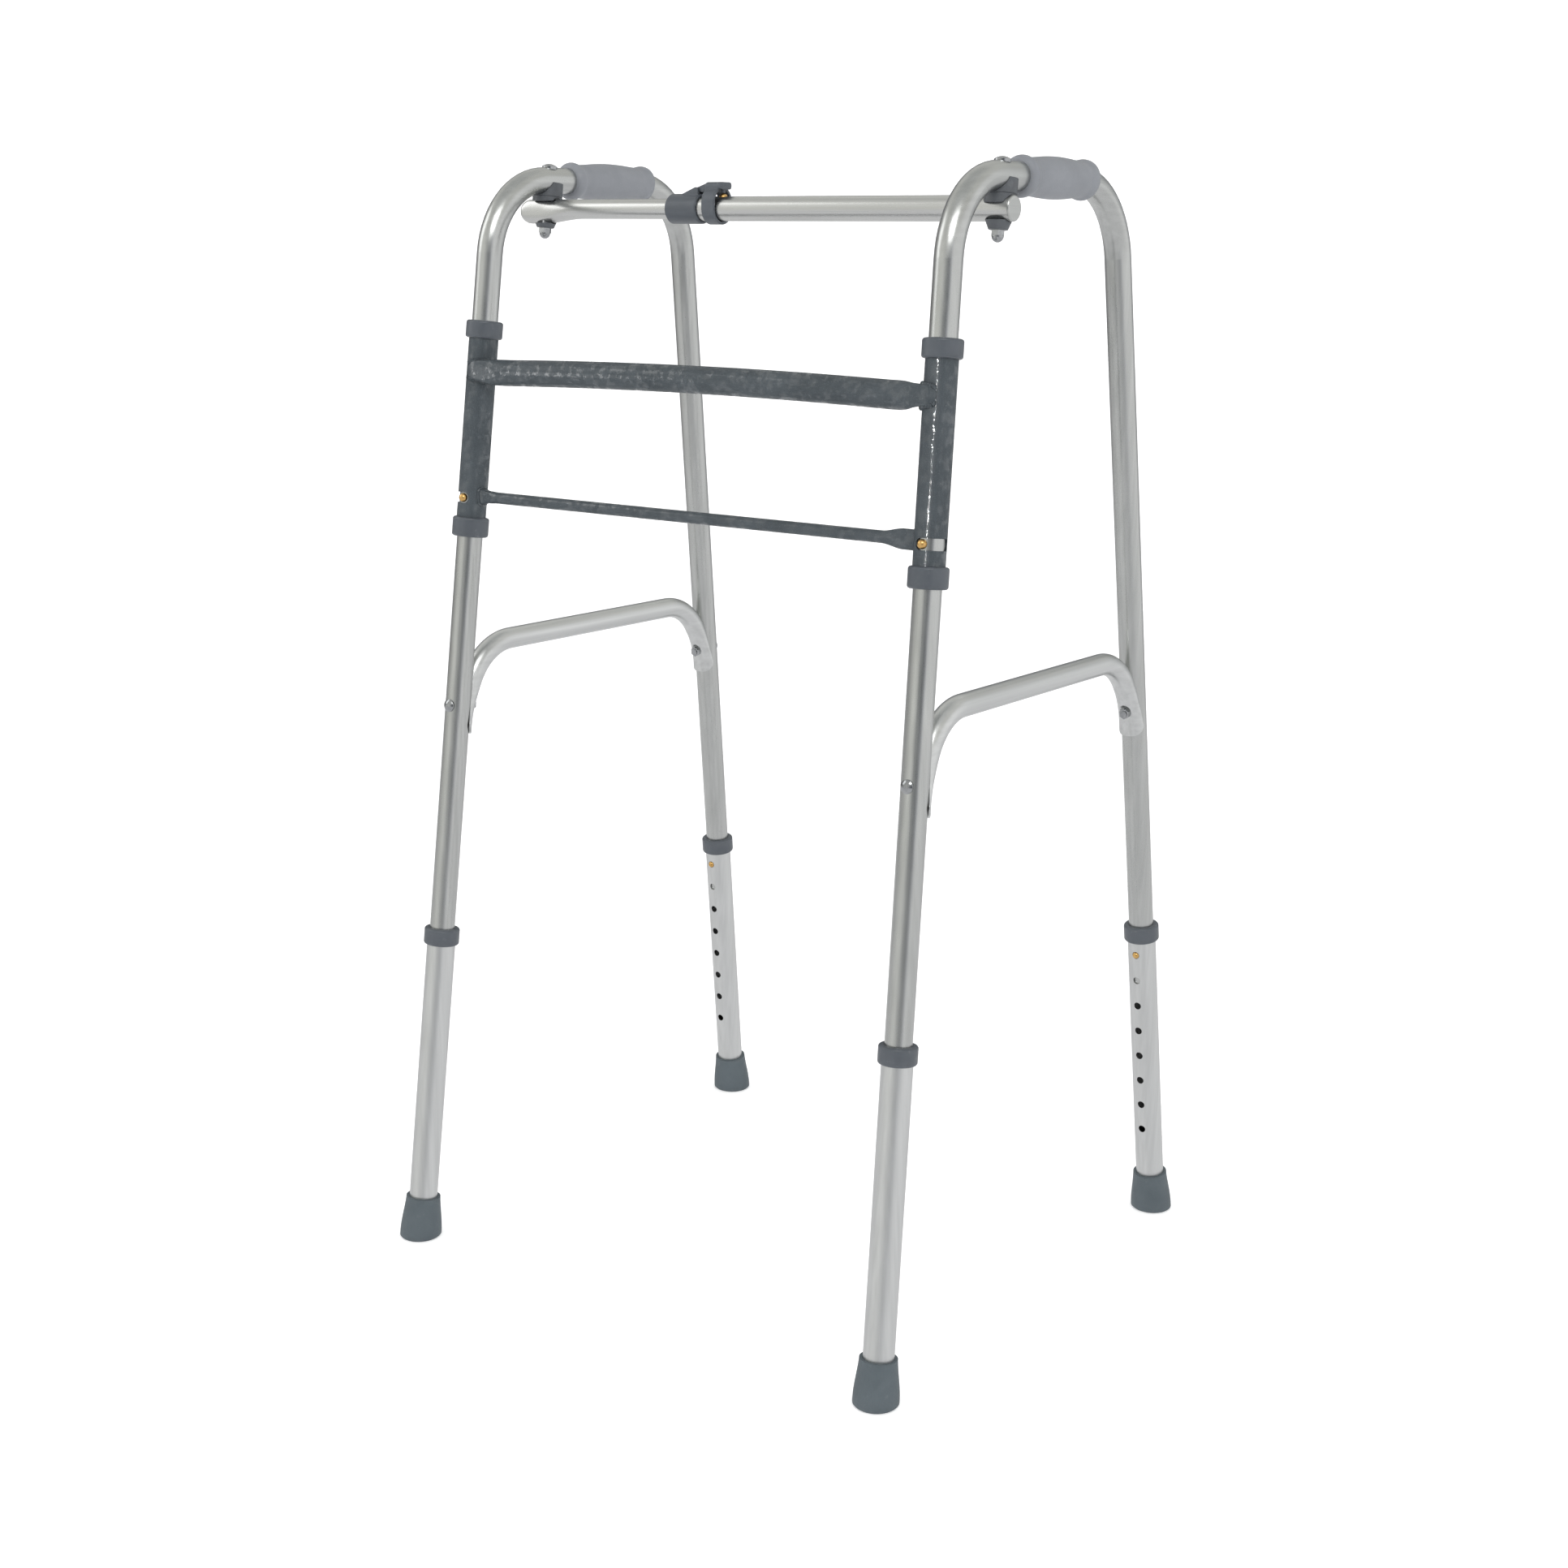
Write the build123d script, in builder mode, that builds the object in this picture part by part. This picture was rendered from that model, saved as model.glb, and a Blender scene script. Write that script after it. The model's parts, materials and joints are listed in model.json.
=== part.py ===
from build123d import *
from math import atan2, cos, sin
import os

# Folding walking frame with four height-adjustable legs, in millimetres.
# The origin is on the floor, midway between the four feet. +Z is up, +X is the
# user's left-to-right width seen from the front, and the front of the frame,
# with its two painted crossbars, faces -Y. The user stands at +Y, between the
# two side frames.

# ---- Driving dimensions --------------------------------------------------
HANDLE_HEIGHT = 946.0       # floor to the middle of the handgrip
HALF_TRACK = 254.2          # middle of the frame to a foot, sideways
HALF_DEPTH = 235.4          # middle of the frame to a foot, front to back
SIDE_SLOPE = 0.0241         # how far each side frame leans in, per mm of height
FRONT_SLOPE = 0.1098        # how far a front leg leans back, per mm of height
REAR_SLOPE = 0.1248         # how far a rear leg leans forward, per mm of height

FRAME_R = 11.1              # bent side tube, 22.2 mm outside
FRAME_WALL = 1.2
FRAME_BEND = 70.0           # centre-line radius of the two top bends
LEG_R = 12.7                # lower leg tube and sleeve, 25.4 mm outside
LEG_WALL = 1.2
RUNNING = 0.05              # radial clearance of a running fit
SEAT = 0.02                 # radial gap where a cap or foot is pushed on

HOLE_PITCH = 25.4           # height settings
HOLE_COUNT = 8
BUTTON_HEIGHT = 263.7       # top hole, where the legs are at their longest
TUBE_END = 234.0            # bottom end of the bent tube, inside the leg
COLLAR_HEIGHT = 283.0       # middle of the collar on top of a lower leg

COLLAR_R = 15.8
COLLAR_LENGTH = 15.4
COLLAR_LIP = 3.0

FOOT_LENGTH = 38.0
FOOT_TOP_R = 15.5
FOOT_R = 18.85
FOOT_PAD = 8.0              # rubber under the tube
FOOT_WASHER = 1.6

SLEEVE_BOTTOM = 650.0       # middle of the lower sleeve collar
SLEEVE_TOP = 819.0          # middle of the upper sleeve collar
SLOT_HEIGHT = 675.0
SLOT_HALF = 4.6
SLOT_START = -5.0           # degrees, from the front of the sleeve outwards
SLOT_END = 104.0

UPPER_BAR_R = 11.1
UPPER_BAR_WALL = 1.2
UPPER_BAR_HEIGHT = 784.0
UPPER_BAR_ARCH = 3.0        # rise at mid span
UPPER_BAR_FORWARD = 6.0     # crossbar axis in front of the sleeve axis
UPPER_BAR_TAPER = 40.0      # where the flattening starts, from the sleeve axis
TONGUE_TALL = 18.0          # flattened end that wraps the sleeve
TONGUE_THICK = 2.7
LOWER_BAR_R = 4.9
LOWER_BAR_HEIGHT = 677.0
LOWER_BAR_TAPER = 45.0
TAB_TALL = 16.0
TAB_THICK = 5.0

BRACE_R = 9.525
BRACE_WALL = 1.3
BRACE_HEIGHT = 546.5
BRACE_BEND = 55.0
BRACE_TIP = {"front": 467.0, "rear": 474.0}
BRACE_OFFSET = 20.6         # brace axis from the leg axis, level with the brace
BRACE_TIP_OFFSET = 4.6      # brace axis from the leg axis, at the tip
BOLT_HEIGHT = {"front": 492.5, "rear": 495.5}
BOLT_R = 3.0
BOLT_HOLE_R = 3.1

GRIP_START = -39.0          # along Y
GRIP_LENGTH = 105.0
GRIP_R = 16.5
GRIP_NECK_R = 14.6
GRIP_FLANGE_R = 16.25

PIVOT_SETBACK = 67.5        # top bar bolt behind the fold axis
PIVOT_HEAD_R = 6.6
SADDLE_R = 13.0
SADDLE_TOP = 944.0
SADDLE_SPLIT = 932.0        # where the frame's saddle meets the bar's
SADDLE_BOTTOM = 922.0
CUP_TOP = 914.0             # cup washer under the bar
CUP_BOTTOM = 905.5
BAR_HEIGHT = 921.5
OUTER_BAR_R = 10.0
OUTER_BAR_WALL = 1.6
INNER_BAR_R = 8.33
INNER_BAR_WALL = 1.3
OUTER_BAR_START = -86.3
OUTER_BAR_END = 244.0
INNER_BAR_REACH = 15.0      # inner bar's end, past the middle of the frame
FLAT_TALL = 22.0            # inner bar's flattened end
FLAT_WIDE = 10.0
FLAT_DROP = 1.5
FLAT_START = 18.0           # from the bolt, towards the middle
FLAT_TAPER = 14.0
FLAT_END = 28.0             # from the bolt, outwards

CLASP_START = -89.3
CLASP_END = -55.6
CLASP_R = 12.3
LEVER_HINGE_X = -60.0
LEVER_HINGE_RISE = 15.0     # lever hinge above the bar axis
RING_START = -48.0
RING_END = -35.0
RING_R = 12.8
RING_PLAY = 5.0             # how far the ring's bore is stretched upwards
HOOD_END = -31.5
HOOD_RISE = 21.5
HOOD_WIDE = 15.0
BAR_BUTTON_X = -34.5
BAR_BUTTON_R = 3.5

os.makedirs("parts", exist_ok=True)


# ---- Frame geometry, all for the right-hand side (+X) ----------------------
def front_axis(z):
    return Vector(HALF_TRACK - SIDE_SLOPE * z, -HALF_DEPTH + FRONT_SLOPE * z, z)


def rear_axis(z):
    return Vector(HALF_TRACK - SIDE_SLOPE * z, HALF_DEPTH - REAR_SLOPE * z, z)


LEGS = {"front": front_axis, "rear": rear_axis}


def up_of(axis):
    return (axis(1000) - axis(0)).normalized()


def across(direction, axis):
    """The part of a direction that is square to a leg, as a unit vector."""
    up = up_of(axis)
    return (direction - up * direction.dot(up)).normalized()


def cross_plane(axis, z):
    """A plane square to a leg, local x outwards and local y to the rear."""
    return Plane(origin=axis(z), x_dir=across(Vector(1, 0, 0), axis), z_dir=up_of(axis))


def profile_plane(axis, z):
    """A plane along a leg: local x is the radius and local y runs up the leg."""
    out = across(Vector(1, 0, 0), axis)
    return Plane(origin=axis(z), x_dir=out, z_dir=out.cross(up_of(axis)))


def radial_plane(axis, z, facing):
    """A plane that looks out of a leg, to the front (-1) or the rear (+1)."""
    out = across(Vector(0, facing, 0), axis)
    return Plane(origin=axis(z), x_dir=up_of(axis), z_dir=out)


def along(axis, low, high):
    """Length along a leg between two heights."""
    return (axis(high) - axis(low)).length


def save(part, name):
    part.label = name
    export_step(part, f"parts/{name}.step")


def save_pair(part, name):
    """Writes a right-hand piece and its mirror image."""
    save(part, "right_" + name)
    with BuildPart() as other:
        mirror(part, about=Plane.YZ)
    save(other.part, "left_" + name)


def dome(radius, base, rise):
    """The arc of a shallow dome, from its rim to its crown on the axis."""
    ball = (radius ** 2 + rise ** 2) / (2 * rise)
    middle = base + rise - ball
    half = atan2(radius, base - middle) / 2
    ThreePointArc((radius, base), (ball * sin(half), middle + ball * cos(half)),
                  (0, base + rise))


def drill(plane, radius, depth, both=False):
    """Cuts a round hole from a plane's origin, inside the part being built."""
    with BuildSketch(plane) as hole:
        Circle(radius)
    extrude(hole.sketch, amount=depth, both=both, mode=Mode.SUBTRACT)


PIVOT_BASE = front_axis(0) + across(Vector(0, 1, 0), front_axis) * PIVOT_SETBACK


def pivot_point(z):
    """A point at a height on the bolt that joins the top bar to the handle."""
    up = up_of(front_axis)
    return PIVOT_BASE + up * ((z - PIVOT_BASE.Z) / up.Z)


BAR_Y = pivot_point(BAR_HEIGHT).Y
HANDLE_X = front_axis(HANDLE_HEIGHT).X


def pivot_plane(z):
    return Plane(
        origin=pivot_point(z),
        x_dir=across(Vector(1, 0, 0), front_axis),
        z_dir=up_of(front_axis),
    )


def pivot_profile(z, way=1):
    """A plane along the pivot bolt: local y runs up it, or down it (-1)."""
    out = across(Vector(1, 0, 0), front_axis)
    return Plane(origin=pivot_point(z), x_dir=out, z_dir=out.cross(up_of(front_axis)) * way)


def side_path():
    return FilletPolyline(
        front_axis(TUBE_END),
        front_axis(HANDLE_HEIGHT),
        rear_axis(HANDLE_HEIGHT),
        rear_axis(TUBE_END),
        radius=FRAME_BEND,
    )


def rod(axis, low, high, radius):
    """A plain cylinder along a leg, between two heights."""
    with BuildPart() as cylinder:
        with BuildSketch(cross_plane(axis, low)):
            Circle(radius)
        extrude(amount=along(axis, low, high))
    return cylinder.part


def frame_rod(radius):
    """A solid bar along the whole bent path of a side frame."""
    with BuildPart() as bar:
        with BuildLine() as path:
            side_path()
        with BuildSketch(cross_plane(front_axis, TUBE_END)):
            Circle(radius)
        sweep(path=path.line)
    return bar.part


def bar_rod(radius, start, end):
    """A plain cylinder along the top bar, between two places on X."""
    with BuildPart() as cylinder:
        with BuildSketch(bar_plane(start)):
            Circle(radius)
        extrude(amount=end - start)
    return cylinder.part


def bar_plane(x):
    """A plane square to the top bar, local x to the rear and local y up."""
    return Plane(origin=(x, BAR_Y, BAR_HEIGHT), x_dir=(0, 1, 0), z_dir=(1, 0, 0))


HANDLE = frame_rod(FRAME_R + SEAT)


# ---- Side frames -----------------------------------------------------------
BUTTON_R = 3.2
BUTTON_HOLE_R = 3.4
SLEEVE_BUTTON_R = 3.8
FACING = {"front": 1, "rear": -1}      # leg buttons look into the side frame

with BuildPart() as frame_tube:
    with BuildLine() as path:
        side_path()
    with BuildSketch(cross_plane(front_axis, TUBE_END)):
        Circle(FRAME_R)
        Circle(FRAME_R - FRAME_WALL, mode=Mode.SUBTRACT)
    sweep(path=path.line)
    for leg, axis in LEGS.items():
        drill(radial_plane(axis, BUTTON_HEIGHT, FACING[leg]), BUTTON_HOLE_R, LEG_R)
        drill(radial_plane(axis, BOLT_HEIGHT[leg], 1), BOLT_HOLE_R, LEG_R, both=True)
    drill(radial_plane(front_axis, SLOT_HEIGHT, -1), SLEEVE_BUTTON_R + 0.1, LEG_R)
    drill(pivot_plane(HANDLE_HEIGHT), BOLT_HOLE_R, 2 * FRAME_R, both=True)
save_pair(frame_tube.part, "frame_tube")

# Soft handgrip: two rolled ends, two necks and a crowned middle, on the tube
# and a little way round the start of its rear bend.
with BuildPart() as grip:
    with BuildSketch(Plane(origin=(HANDLE_X, GRIP_START, HANDLE_HEIGHT),
                           x_dir=(0, 1, 0), z_dir=(1, 0, 0))):
        with BuildLine():
            ends = Spline(
                (1.5, GRIP_FLANGE_R - 1.4),
                (5.0, GRIP_FLANGE_R),
                (13.0, GRIP_NECK_R),
                (GRIP_LENGTH / 2, GRIP_R),
                (GRIP_LENGTH - 13.0, GRIP_NECK_R),
                (GRIP_LENGTH - 5.0, GRIP_FLANGE_R),
                (GRIP_LENGTH - 1.5, GRIP_FLANGE_R - 1.4),
            )
            Polyline(
                ends @ 1,
                (GRIP_LENGTH, GRIP_FLANGE_R - 3.2),
                (GRIP_LENGTH, 0),
                (0, 0),
                (0, GRIP_FLANGE_R - 3.2),
                ends @ 0,
            )
        make_face()
    revolve(axis=Axis((HANDLE_X, 0, HANDLE_HEIGHT), (0, 1, 0)))
    add(HANDLE, mode=Mode.SUBTRACT)
save_pair(grip.part, "grip")


# Lower brace: a bent tube whose ends sink into a flattened, hollowed plate
# that hugs each leg.
def brace_point(axis, z, offset, facing):
    return axis(z) + across(Vector(0, facing, 0), axis) * offset


def brace_path(drop):
    """The brace's centre line, down to its tips or to a bore that stops short."""
    return FilletPolyline(
        brace_point(front_axis, BRACE_TIP["front"] - drop, BRACE_TIP_OFFSET, 1),
        brace_point(front_axis, BRACE_HEIGHT, BRACE_OFFSET, 1),
        brace_point(rear_axis, BRACE_HEIGHT, BRACE_OFFSET, -1),
        brace_point(rear_axis, BRACE_TIP["rear"] - drop, BRACE_TIP_OFFSET, -1),
        radius=BRACE_BEND,
    )


PIT_R = 5.6                 # pit pressed round each nut
NUT_R = 4.9
NUT_SEAT = 14.4             # from the leg axis to the bottom of the pit
NUT_TALL = 4.2

brace_low = brace_point(front_axis, BRACE_HEIGHT, BRACE_OFFSET + BRACE_BEND, 1)
brace_high = brace_point(rear_axis, BRACE_HEIGHT, BRACE_OFFSET + BRACE_BEND, -1)
with BuildPart() as brace:
    with BuildLine() as path:
        brace_path(12.0)
    with BuildSketch(Plane(origin=path.line @ 0, x_dir=(1, 0, 0), z_dir=path.line % 0)):
        Circle(BRACE_R)
    sweep(path=path.line)
    with BuildSketch(Plane(origin=(brace_low.X, brace_low.Y, BRACE_HEIGHT),
                           x_dir=(1, 0, 0), z_dir=(0, 1, 0))):
        Circle(BRACE_R - BRACE_WALL)
    extrude(amount=brace_high.Y - brace_low.Y, mode=Mode.SUBTRACT)
    for leg, axis in LEGS.items():
        facing = FACING[leg]
        add(rod(axis, 420.0, 640.0, FRAME_R + SEAT), mode=Mode.SUBTRACT)
        with BuildSketch(cross_plane(axis, BRACE_TIP[leg])):
            Rectangle(120, 120)
        extrude(amount=-80.0, mode=Mode.SUBTRACT)
        look = radial_plane(axis, BOLT_HEIGHT[leg], facing)
        drill(look, BOLT_HOLE_R, 2 * LEG_R)
        with BuildSketch(look.offset(NUT_SEAT)):
            Circle(PIT_R)
        extrude(amount=40.0, taper=-12, mode=Mode.SUBTRACT)
        far = radial_plane(axis, BRACE_TIP[leg], -facing)
        with BuildSketch(far):
            Rectangle(400, 120)
        extrude(amount=60.0, mode=Mode.SUBTRACT)
save_pair(brace.part, "brace")

# Brace bolts: a domed head outside the leg, a nut on the plate inside.
HEAD_R = 5.6
HEAD_TALL = 3.0


def outward_plane(axis, z, facing):
    """A plane through a leg's axis whose local y looks to the front or rear."""
    out = across(Vector(0, facing, 0), axis)
    return Plane(origin=axis(z), x_dir=out.cross(up_of(axis)), z_dir=up_of(axis))


with BuildPart() as bolts:
    for leg, axis in LEGS.items():
        face = outward_plane(axis, BOLT_HEIGHT[leg], -FACING[leg])
        tip = -NUT_SEAT - NUT_TALL - 0.8
        seat = FRAME_R + 0.05
        with BuildSketch(face):
            with BuildLine():
                Polyline((0, FRAME_R + HEAD_TALL), (0, tip), (BOLT_R, tip),
                         (BOLT_R, seat), (HEAD_R, seat), (HEAD_R, FRAME_R + 0.7))
                dome(HEAD_R, FRAME_R + 0.7, HEAD_TALL - 0.7)
            make_face()
        revolve(axis=Axis(face.origin, face.y_dir))
save_pair(bolts.part, "brace_bolts")

with BuildPart() as nuts:
    for leg, axis in LEGS.items():
        with BuildSketch(radial_plane(axis, BOLT_HEIGHT[leg], FACING[leg]).offset(NUT_SEAT)):
            RegularPolygon(NUT_R, 6)
            Circle(BOLT_R, mode=Mode.SUBTRACT)
        extrude(amount=NUT_TALL)
save_pair(nuts.part, "brace_nuts")


# ---- Snap buttons and their leaf springs -----------------------------------
def snap_button(plane, seat, radius, top):
    """A domed button on a flange, on a plane whose local y points outwards."""
    flange_r = radius + 1.0
    crown = 0.75 * radius
    with BuildPart() as button:
        with BuildSketch(plane):
            with BuildLine():
                Polyline((0, top), (0, seat - 1.0), (flange_r, seat - 1.0),
                         (flange_r, seat), (radius, seat), (radius, top - crown))
                dome(radius, top - crown, crown)
            make_face()
        revolve(axis=Axis(plane.origin, plane.y_dir))
    return button.part


def leaf_spring(origin, run, out, width_dir, seat, reach):
    """A V-shaped leaf: one arm under the button, one against the far wall."""
    with BuildPart() as spring:
        with BuildLine() as path:
            FilletPolyline(
                origin + out * seat - run * 4.0,
                origin + out * seat + run * 20.0,
                origin - out * reach - run * 2.0,
                radius=1.6,
            )
        with BuildSketch(Plane(origin=path.line @ 0, x_dir=width_dir, z_dir=path.line % 0)):
            Rectangle(5.0, 0.5)
        sweep(path=path.line)
    return spring.part


INNER_R = FRAME_R - FRAME_WALL
BUTTON_SEAT = 8.75          # flange top, just inside the round tube wall
SLEEVE_BUTTON_SEAT = 8.4
with BuildPart() as snap_springs:
    for leg, axis in LEGS.items():
        add(leaf_spring(
            axis(BUTTON_HEIGHT), up_of(axis), across(Vector(0, FACING[leg], 0), axis),
            across(Vector(1, 0, 0), axis), BUTTON_SEAT - 1.35, INNER_R - 1.6,
        ))
    add(leaf_spring(
        front_axis(SLOT_HEIGHT), up_of(front_axis), across(Vector(0, -1, 0), front_axis),
        across(Vector(1, 0, 0), front_axis), SLEEVE_BUTTON_SEAT - 1.35, INNER_R - 1.6,
    ))
save_pair(snap_springs.part, "snap_springs")

for leg, axis in LEGS.items():
    face = outward_plane(axis, BUTTON_HEIGHT, FACING[leg])
    save_pair(snap_button(face, BUTTON_SEAT, BUTTON_R, LEG_R + 2.2), f"{leg}_leg_button")
face = outward_plane(front_axis, SLOT_HEIGHT, -1)
save_pair(snap_button(face, SLEEVE_BUTTON_SEAT, SLEEVE_BUTTON_R, LEG_R + 2.5), "sleeve_button")


# ---- Lower legs, one for each corner ---------------------------------------
def collar(axis, middle, lip_side, length):
    """A moulded ring on a tube's end; its lip runs on the tube inside."""
    half = length / 2
    with BuildPart() as ring:
        with BuildSketch(profile_plane(axis, middle)):
            with BuildLine():
                Polyline(
                    (FRAME_R + RUNNING, lip_side * (half - COLLAR_LIP)),
                    (FRAME_R + RUNNING, lip_side * half),
                    (COLLAR_R, lip_side * half),
                    (COLLAR_R, -lip_side * half),
                    (LEG_R + SEAT, -lip_side * half),
                    (LEG_R + SEAT, lip_side * (half - COLLAR_LIP)),
                    close=True,
                )
            make_face()
        revolve(axis=Axis(axis(middle), up_of(axis)))
        rims = ring.edges().filter_by(GeomType.CIRCLE).group_by(SortBy.RADIUS)[-1]
        fillet(rims, radius=2.2)
    return ring.part


def tube_stop(axis, middle, lip_side, length):
    """Height where a tube ends against its collar's lip."""
    return middle + lip_side * (length / 2 - COLLAR_LIP) * up_of(axis).Z


for leg, axis in LEGS.items():
    up = up_of(axis)
    tube_low = (FOOT_PAD + FOOT_WASHER) * up.Z
    tube_high = tube_stop(axis, COLLAR_HEIGHT, 1, COLLAR_LENGTH)
    with BuildPart() as leg_tube:
        with BuildSketch(cross_plane(axis, tube_low)):
            Circle(LEG_R)
            Circle(LEG_R - LEG_WALL, mode=Mode.SUBTRACT)
        extrude(amount=along(axis, tube_low, tube_high))
        for step in range(HOLE_COUNT):
            height = BUTTON_HEIGHT - step * HOLE_PITCH * up.Z
            drill(radial_plane(axis, height, FACING[leg]), BUTTON_HOLE_R, 2 * LEG_R)
    save_pair(leg_tube.part, f"{leg}_leg_tube")
    save_pair(collar(axis, COLLAR_HEIGHT, 1, COLLAR_LENGTH), f"{leg}_leg_collar")

    with BuildPart() as foot:
        with BuildSketch(profile_plane(axis, 0)):
            with BuildLine():
                flank = Spline(
                    (FOOT_TOP_R, FOOT_LENGTH),
                    (FOOT_TOP_R + 1.0, 0.72 * FOOT_LENGTH),
                    (FOOT_R - 0.5, 0.34 * FOOT_LENGTH),
                    (FOOT_R, 5.0),
                    (FOOT_R - 0.3, -4.0),
                )
                Polyline(
                    flank @ 1,
                    (0, -4.0),
                    (0, FOOT_PAD),
                    (LEG_R + SEAT, FOOT_PAD),
                    (LEG_R + SEAT, FOOT_LENGTH),
                    flank @ 0,
                )
            make_face()
        revolve(axis=Axis(axis(0), up))
        split(bisect_by=Plane.XY, keep=Keep.TOP)
        sole = foot.faces().sort_by(Axis.Z)[0]
        chamfer(sole.outer_wire().edges(), length=1.5)
    save_pair(foot.part, f"{leg}_foot")

    with BuildPart() as washer:
        with BuildSketch(cross_plane(axis, FOOT_PAD * up.Z)):
            Circle(LEG_R - 0.1)
        extrude(amount=FOOT_WASHER)
    save_pair(washer.part, f"{leg}_foot_washer")


# ---- Front frame: two sleeves, their collars and two crossbars ---------------
TOP_COLLAR = 15.0
BOTTOM_COLLAR = 17.0
sleeve_low = tube_stop(front_axis, SLEEVE_BOTTOM, -1, BOTTOM_COLLAR)
sleeve_high = tube_stop(front_axis, SLEEVE_TOP, 1, TOP_COLLAR)
slot_plane = cross_plane(front_axis, SLOT_HEIGHT)


def slot_direction(angle):
    """Direction at an angle from the sleeve's front, turning outwards."""
    turn = Vector(0, -1, 0).rotate(Axis.Z, angle)
    return slot_plane.x_dir * turn.X + slot_plane.y_dir * turn.Y


with BuildPart() as sleeve:
    with BuildSketch(cross_plane(front_axis, sleeve_low)):
        Circle(LEG_R)
        Circle(LEG_R - LEG_WALL, mode=Mode.SUBTRACT)
    extrude(amount=along(front_axis, sleeve_low, sleeve_high))
    first = slot_direction(SLOT_START)
    with BuildSketch(Plane(origin=front_axis(SLOT_HEIGHT) + first * LEG_R, x_dir=first,
                           z_dir=first.cross(slot_plane.z_dir))):
        Rectangle(5.0, 2 * SLOT_HALF)
    revolve(axis=Axis(front_axis(SLOT_HEIGHT), slot_plane.z_dir),
            revolution_arc=SLOT_END - SLOT_START, mode=Mode.SUBTRACT)
    for angle in (SLOT_START, SLOT_END):
        drill(Plane(origin=front_axis(SLOT_HEIGHT), x_dir=slot_plane.z_dir,
                    z_dir=slot_direction(angle)), SLOT_HALF, 2 * LEG_R)
save_pair(sleeve.part, "sleeve")
save_pair(collar(front_axis, SLEEVE_TOP, 1, TOP_COLLAR), "sleeve_top_collar")
save_pair(collar(front_axis, SLEEVE_BOTTOM, -1, BOTTOM_COLLAR), "sleeve_bottom_collar")

with BuildPart() as posts:
    add(rod(front_axis, sleeve_low, sleeve_high, LEG_R))
    mirror(about=Plane.YZ)

# Upper crossbar: an arched tube, each end flattened into a tongue that wraps
# the inner front of its sleeve.
upper_end = front_axis(UPPER_BAR_HEIGHT)
upper_y = upper_end.Y - UPPER_BAR_FORWARD
taper_x = upper_end.X - UPPER_BAR_TAPER
tongue_plane = cross_plane(front_axis, UPPER_BAR_HEIGHT)
tongue_start = tongue_plane.x_dir * -1
with BuildPart() as upper_crossbar:
    with BuildLine() as path:
        ThreePointArc((-taper_x, upper_y, UPPER_BAR_HEIGHT),
                      (0, upper_y, UPPER_BAR_HEIGHT + UPPER_BAR_ARCH),
                      (taper_x, upper_y, UPPER_BAR_HEIGHT))
    with BuildSketch(Plane(origin=path.line @ 0, x_dir=(0, 1, 0), z_dir=path.line % 0)):
        Circle(UPPER_BAR_R)
        Circle(UPPER_BAR_R - UPPER_BAR_WALL, mode=Mode.SUBTRACT)
    sweep(path=path.line)
    with BuildSketch(Plane(origin=path.line @ 1, x_dir=(0, 1, 0), z_dir=path.line % 1)):
        Circle(UPPER_BAR_R)
    with BuildSketch(Plane(origin=(upper_end.X - 9.0, upper_end.Y - LEG_R + 0.6, UPPER_BAR_HEIGHT),
                           x_dir=(0, 0, 1), z_dir=(1, 0, 0))):
        SlotOverall(TONGUE_TALL, 6.4)
    loft()
    with BuildSketch(Plane(
            origin=tongue_plane.origin + tongue_start * (LEG_R + TONGUE_THICK / 2),
            x_dir=tongue_start, z_dir=tongue_start.cross(tongue_plane.z_dir))):
        Rectangle(TONGUE_THICK, TONGUE_TALL)
    revolve(axis=Axis(tongue_plane.origin, tongue_plane.z_dir), revolution_arc=112)
    mirror(about=Plane.YZ)
    add(posts.part, mode=Mode.SUBTRACT)
save(upper_crossbar.part, "upper_crossbar")

# Lower crossbar: a thin straight bar, flattened tall where it meets the
# right-hand sleeve.
lower_end = front_axis(LOWER_BAR_HEIGHT)
tab_x = lower_end.X - LOWER_BAR_TAPER
with BuildPart() as lower_crossbar:
    with BuildSketch(Plane(origin=(-lower_end.X, lower_end.Y, LOWER_BAR_HEIGHT),
                           x_dir=(0, 1, 0), z_dir=(1, 0, 0))):
        Circle(LOWER_BAR_R)
    extrude(amount=lower_end.X + tab_x)
    with BuildSketch(Plane(origin=(tab_x, lower_end.Y, LOWER_BAR_HEIGHT),
                           x_dir=(0, 0, 1), z_dir=(1, 0, 0))):
        Circle(LOWER_BAR_R)
    with BuildSketch(Plane(origin=(tab_x + 24.0, lower_end.Y, LOWER_BAR_HEIGHT),
                           x_dir=(0, 0, 1), z_dir=(1, 0, 0))):
        SlotOverall(TAB_TALL, TAB_THICK)
    loft()
    with BuildSketch(Plane(origin=(tab_x + 24.0, lower_end.Y, LOWER_BAR_HEIGHT),
                           x_dir=(0, 0, 1), z_dir=(1, 0, 0))):
        SlotOverall(TAB_TALL, TAB_THICK)
    extrude(amount=lower_end.X - tab_x - 24.0)
    add(posts.part, mode=Mode.SUBTRACT)
save(lower_crossbar.part, "lower_crossbar")


# ---- Telescoping top bar ----------------------------------------------------
with BuildPart() as outer_bar:
    with BuildSketch(bar_plane(OUTER_BAR_START)):
        Circle(OUTER_BAR_R)
        Circle(OUTER_BAR_R - OUTER_BAR_WALL, mode=Mode.SUBTRACT)
    extrude(amount=OUTER_BAR_END - OUTER_BAR_START)
    drill(pivot_plane(BAR_HEIGHT), BOLT_HOLE_R, 2 * OUTER_BAR_R, both=True)
    drill(Plane(origin=(BAR_BUTTON_X, BAR_Y, BAR_HEIGHT)), BAR_BUTTON_R + 0.1, 2 * OUTER_BAR_R)
save(outer_bar.part, "outer_bar")


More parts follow.
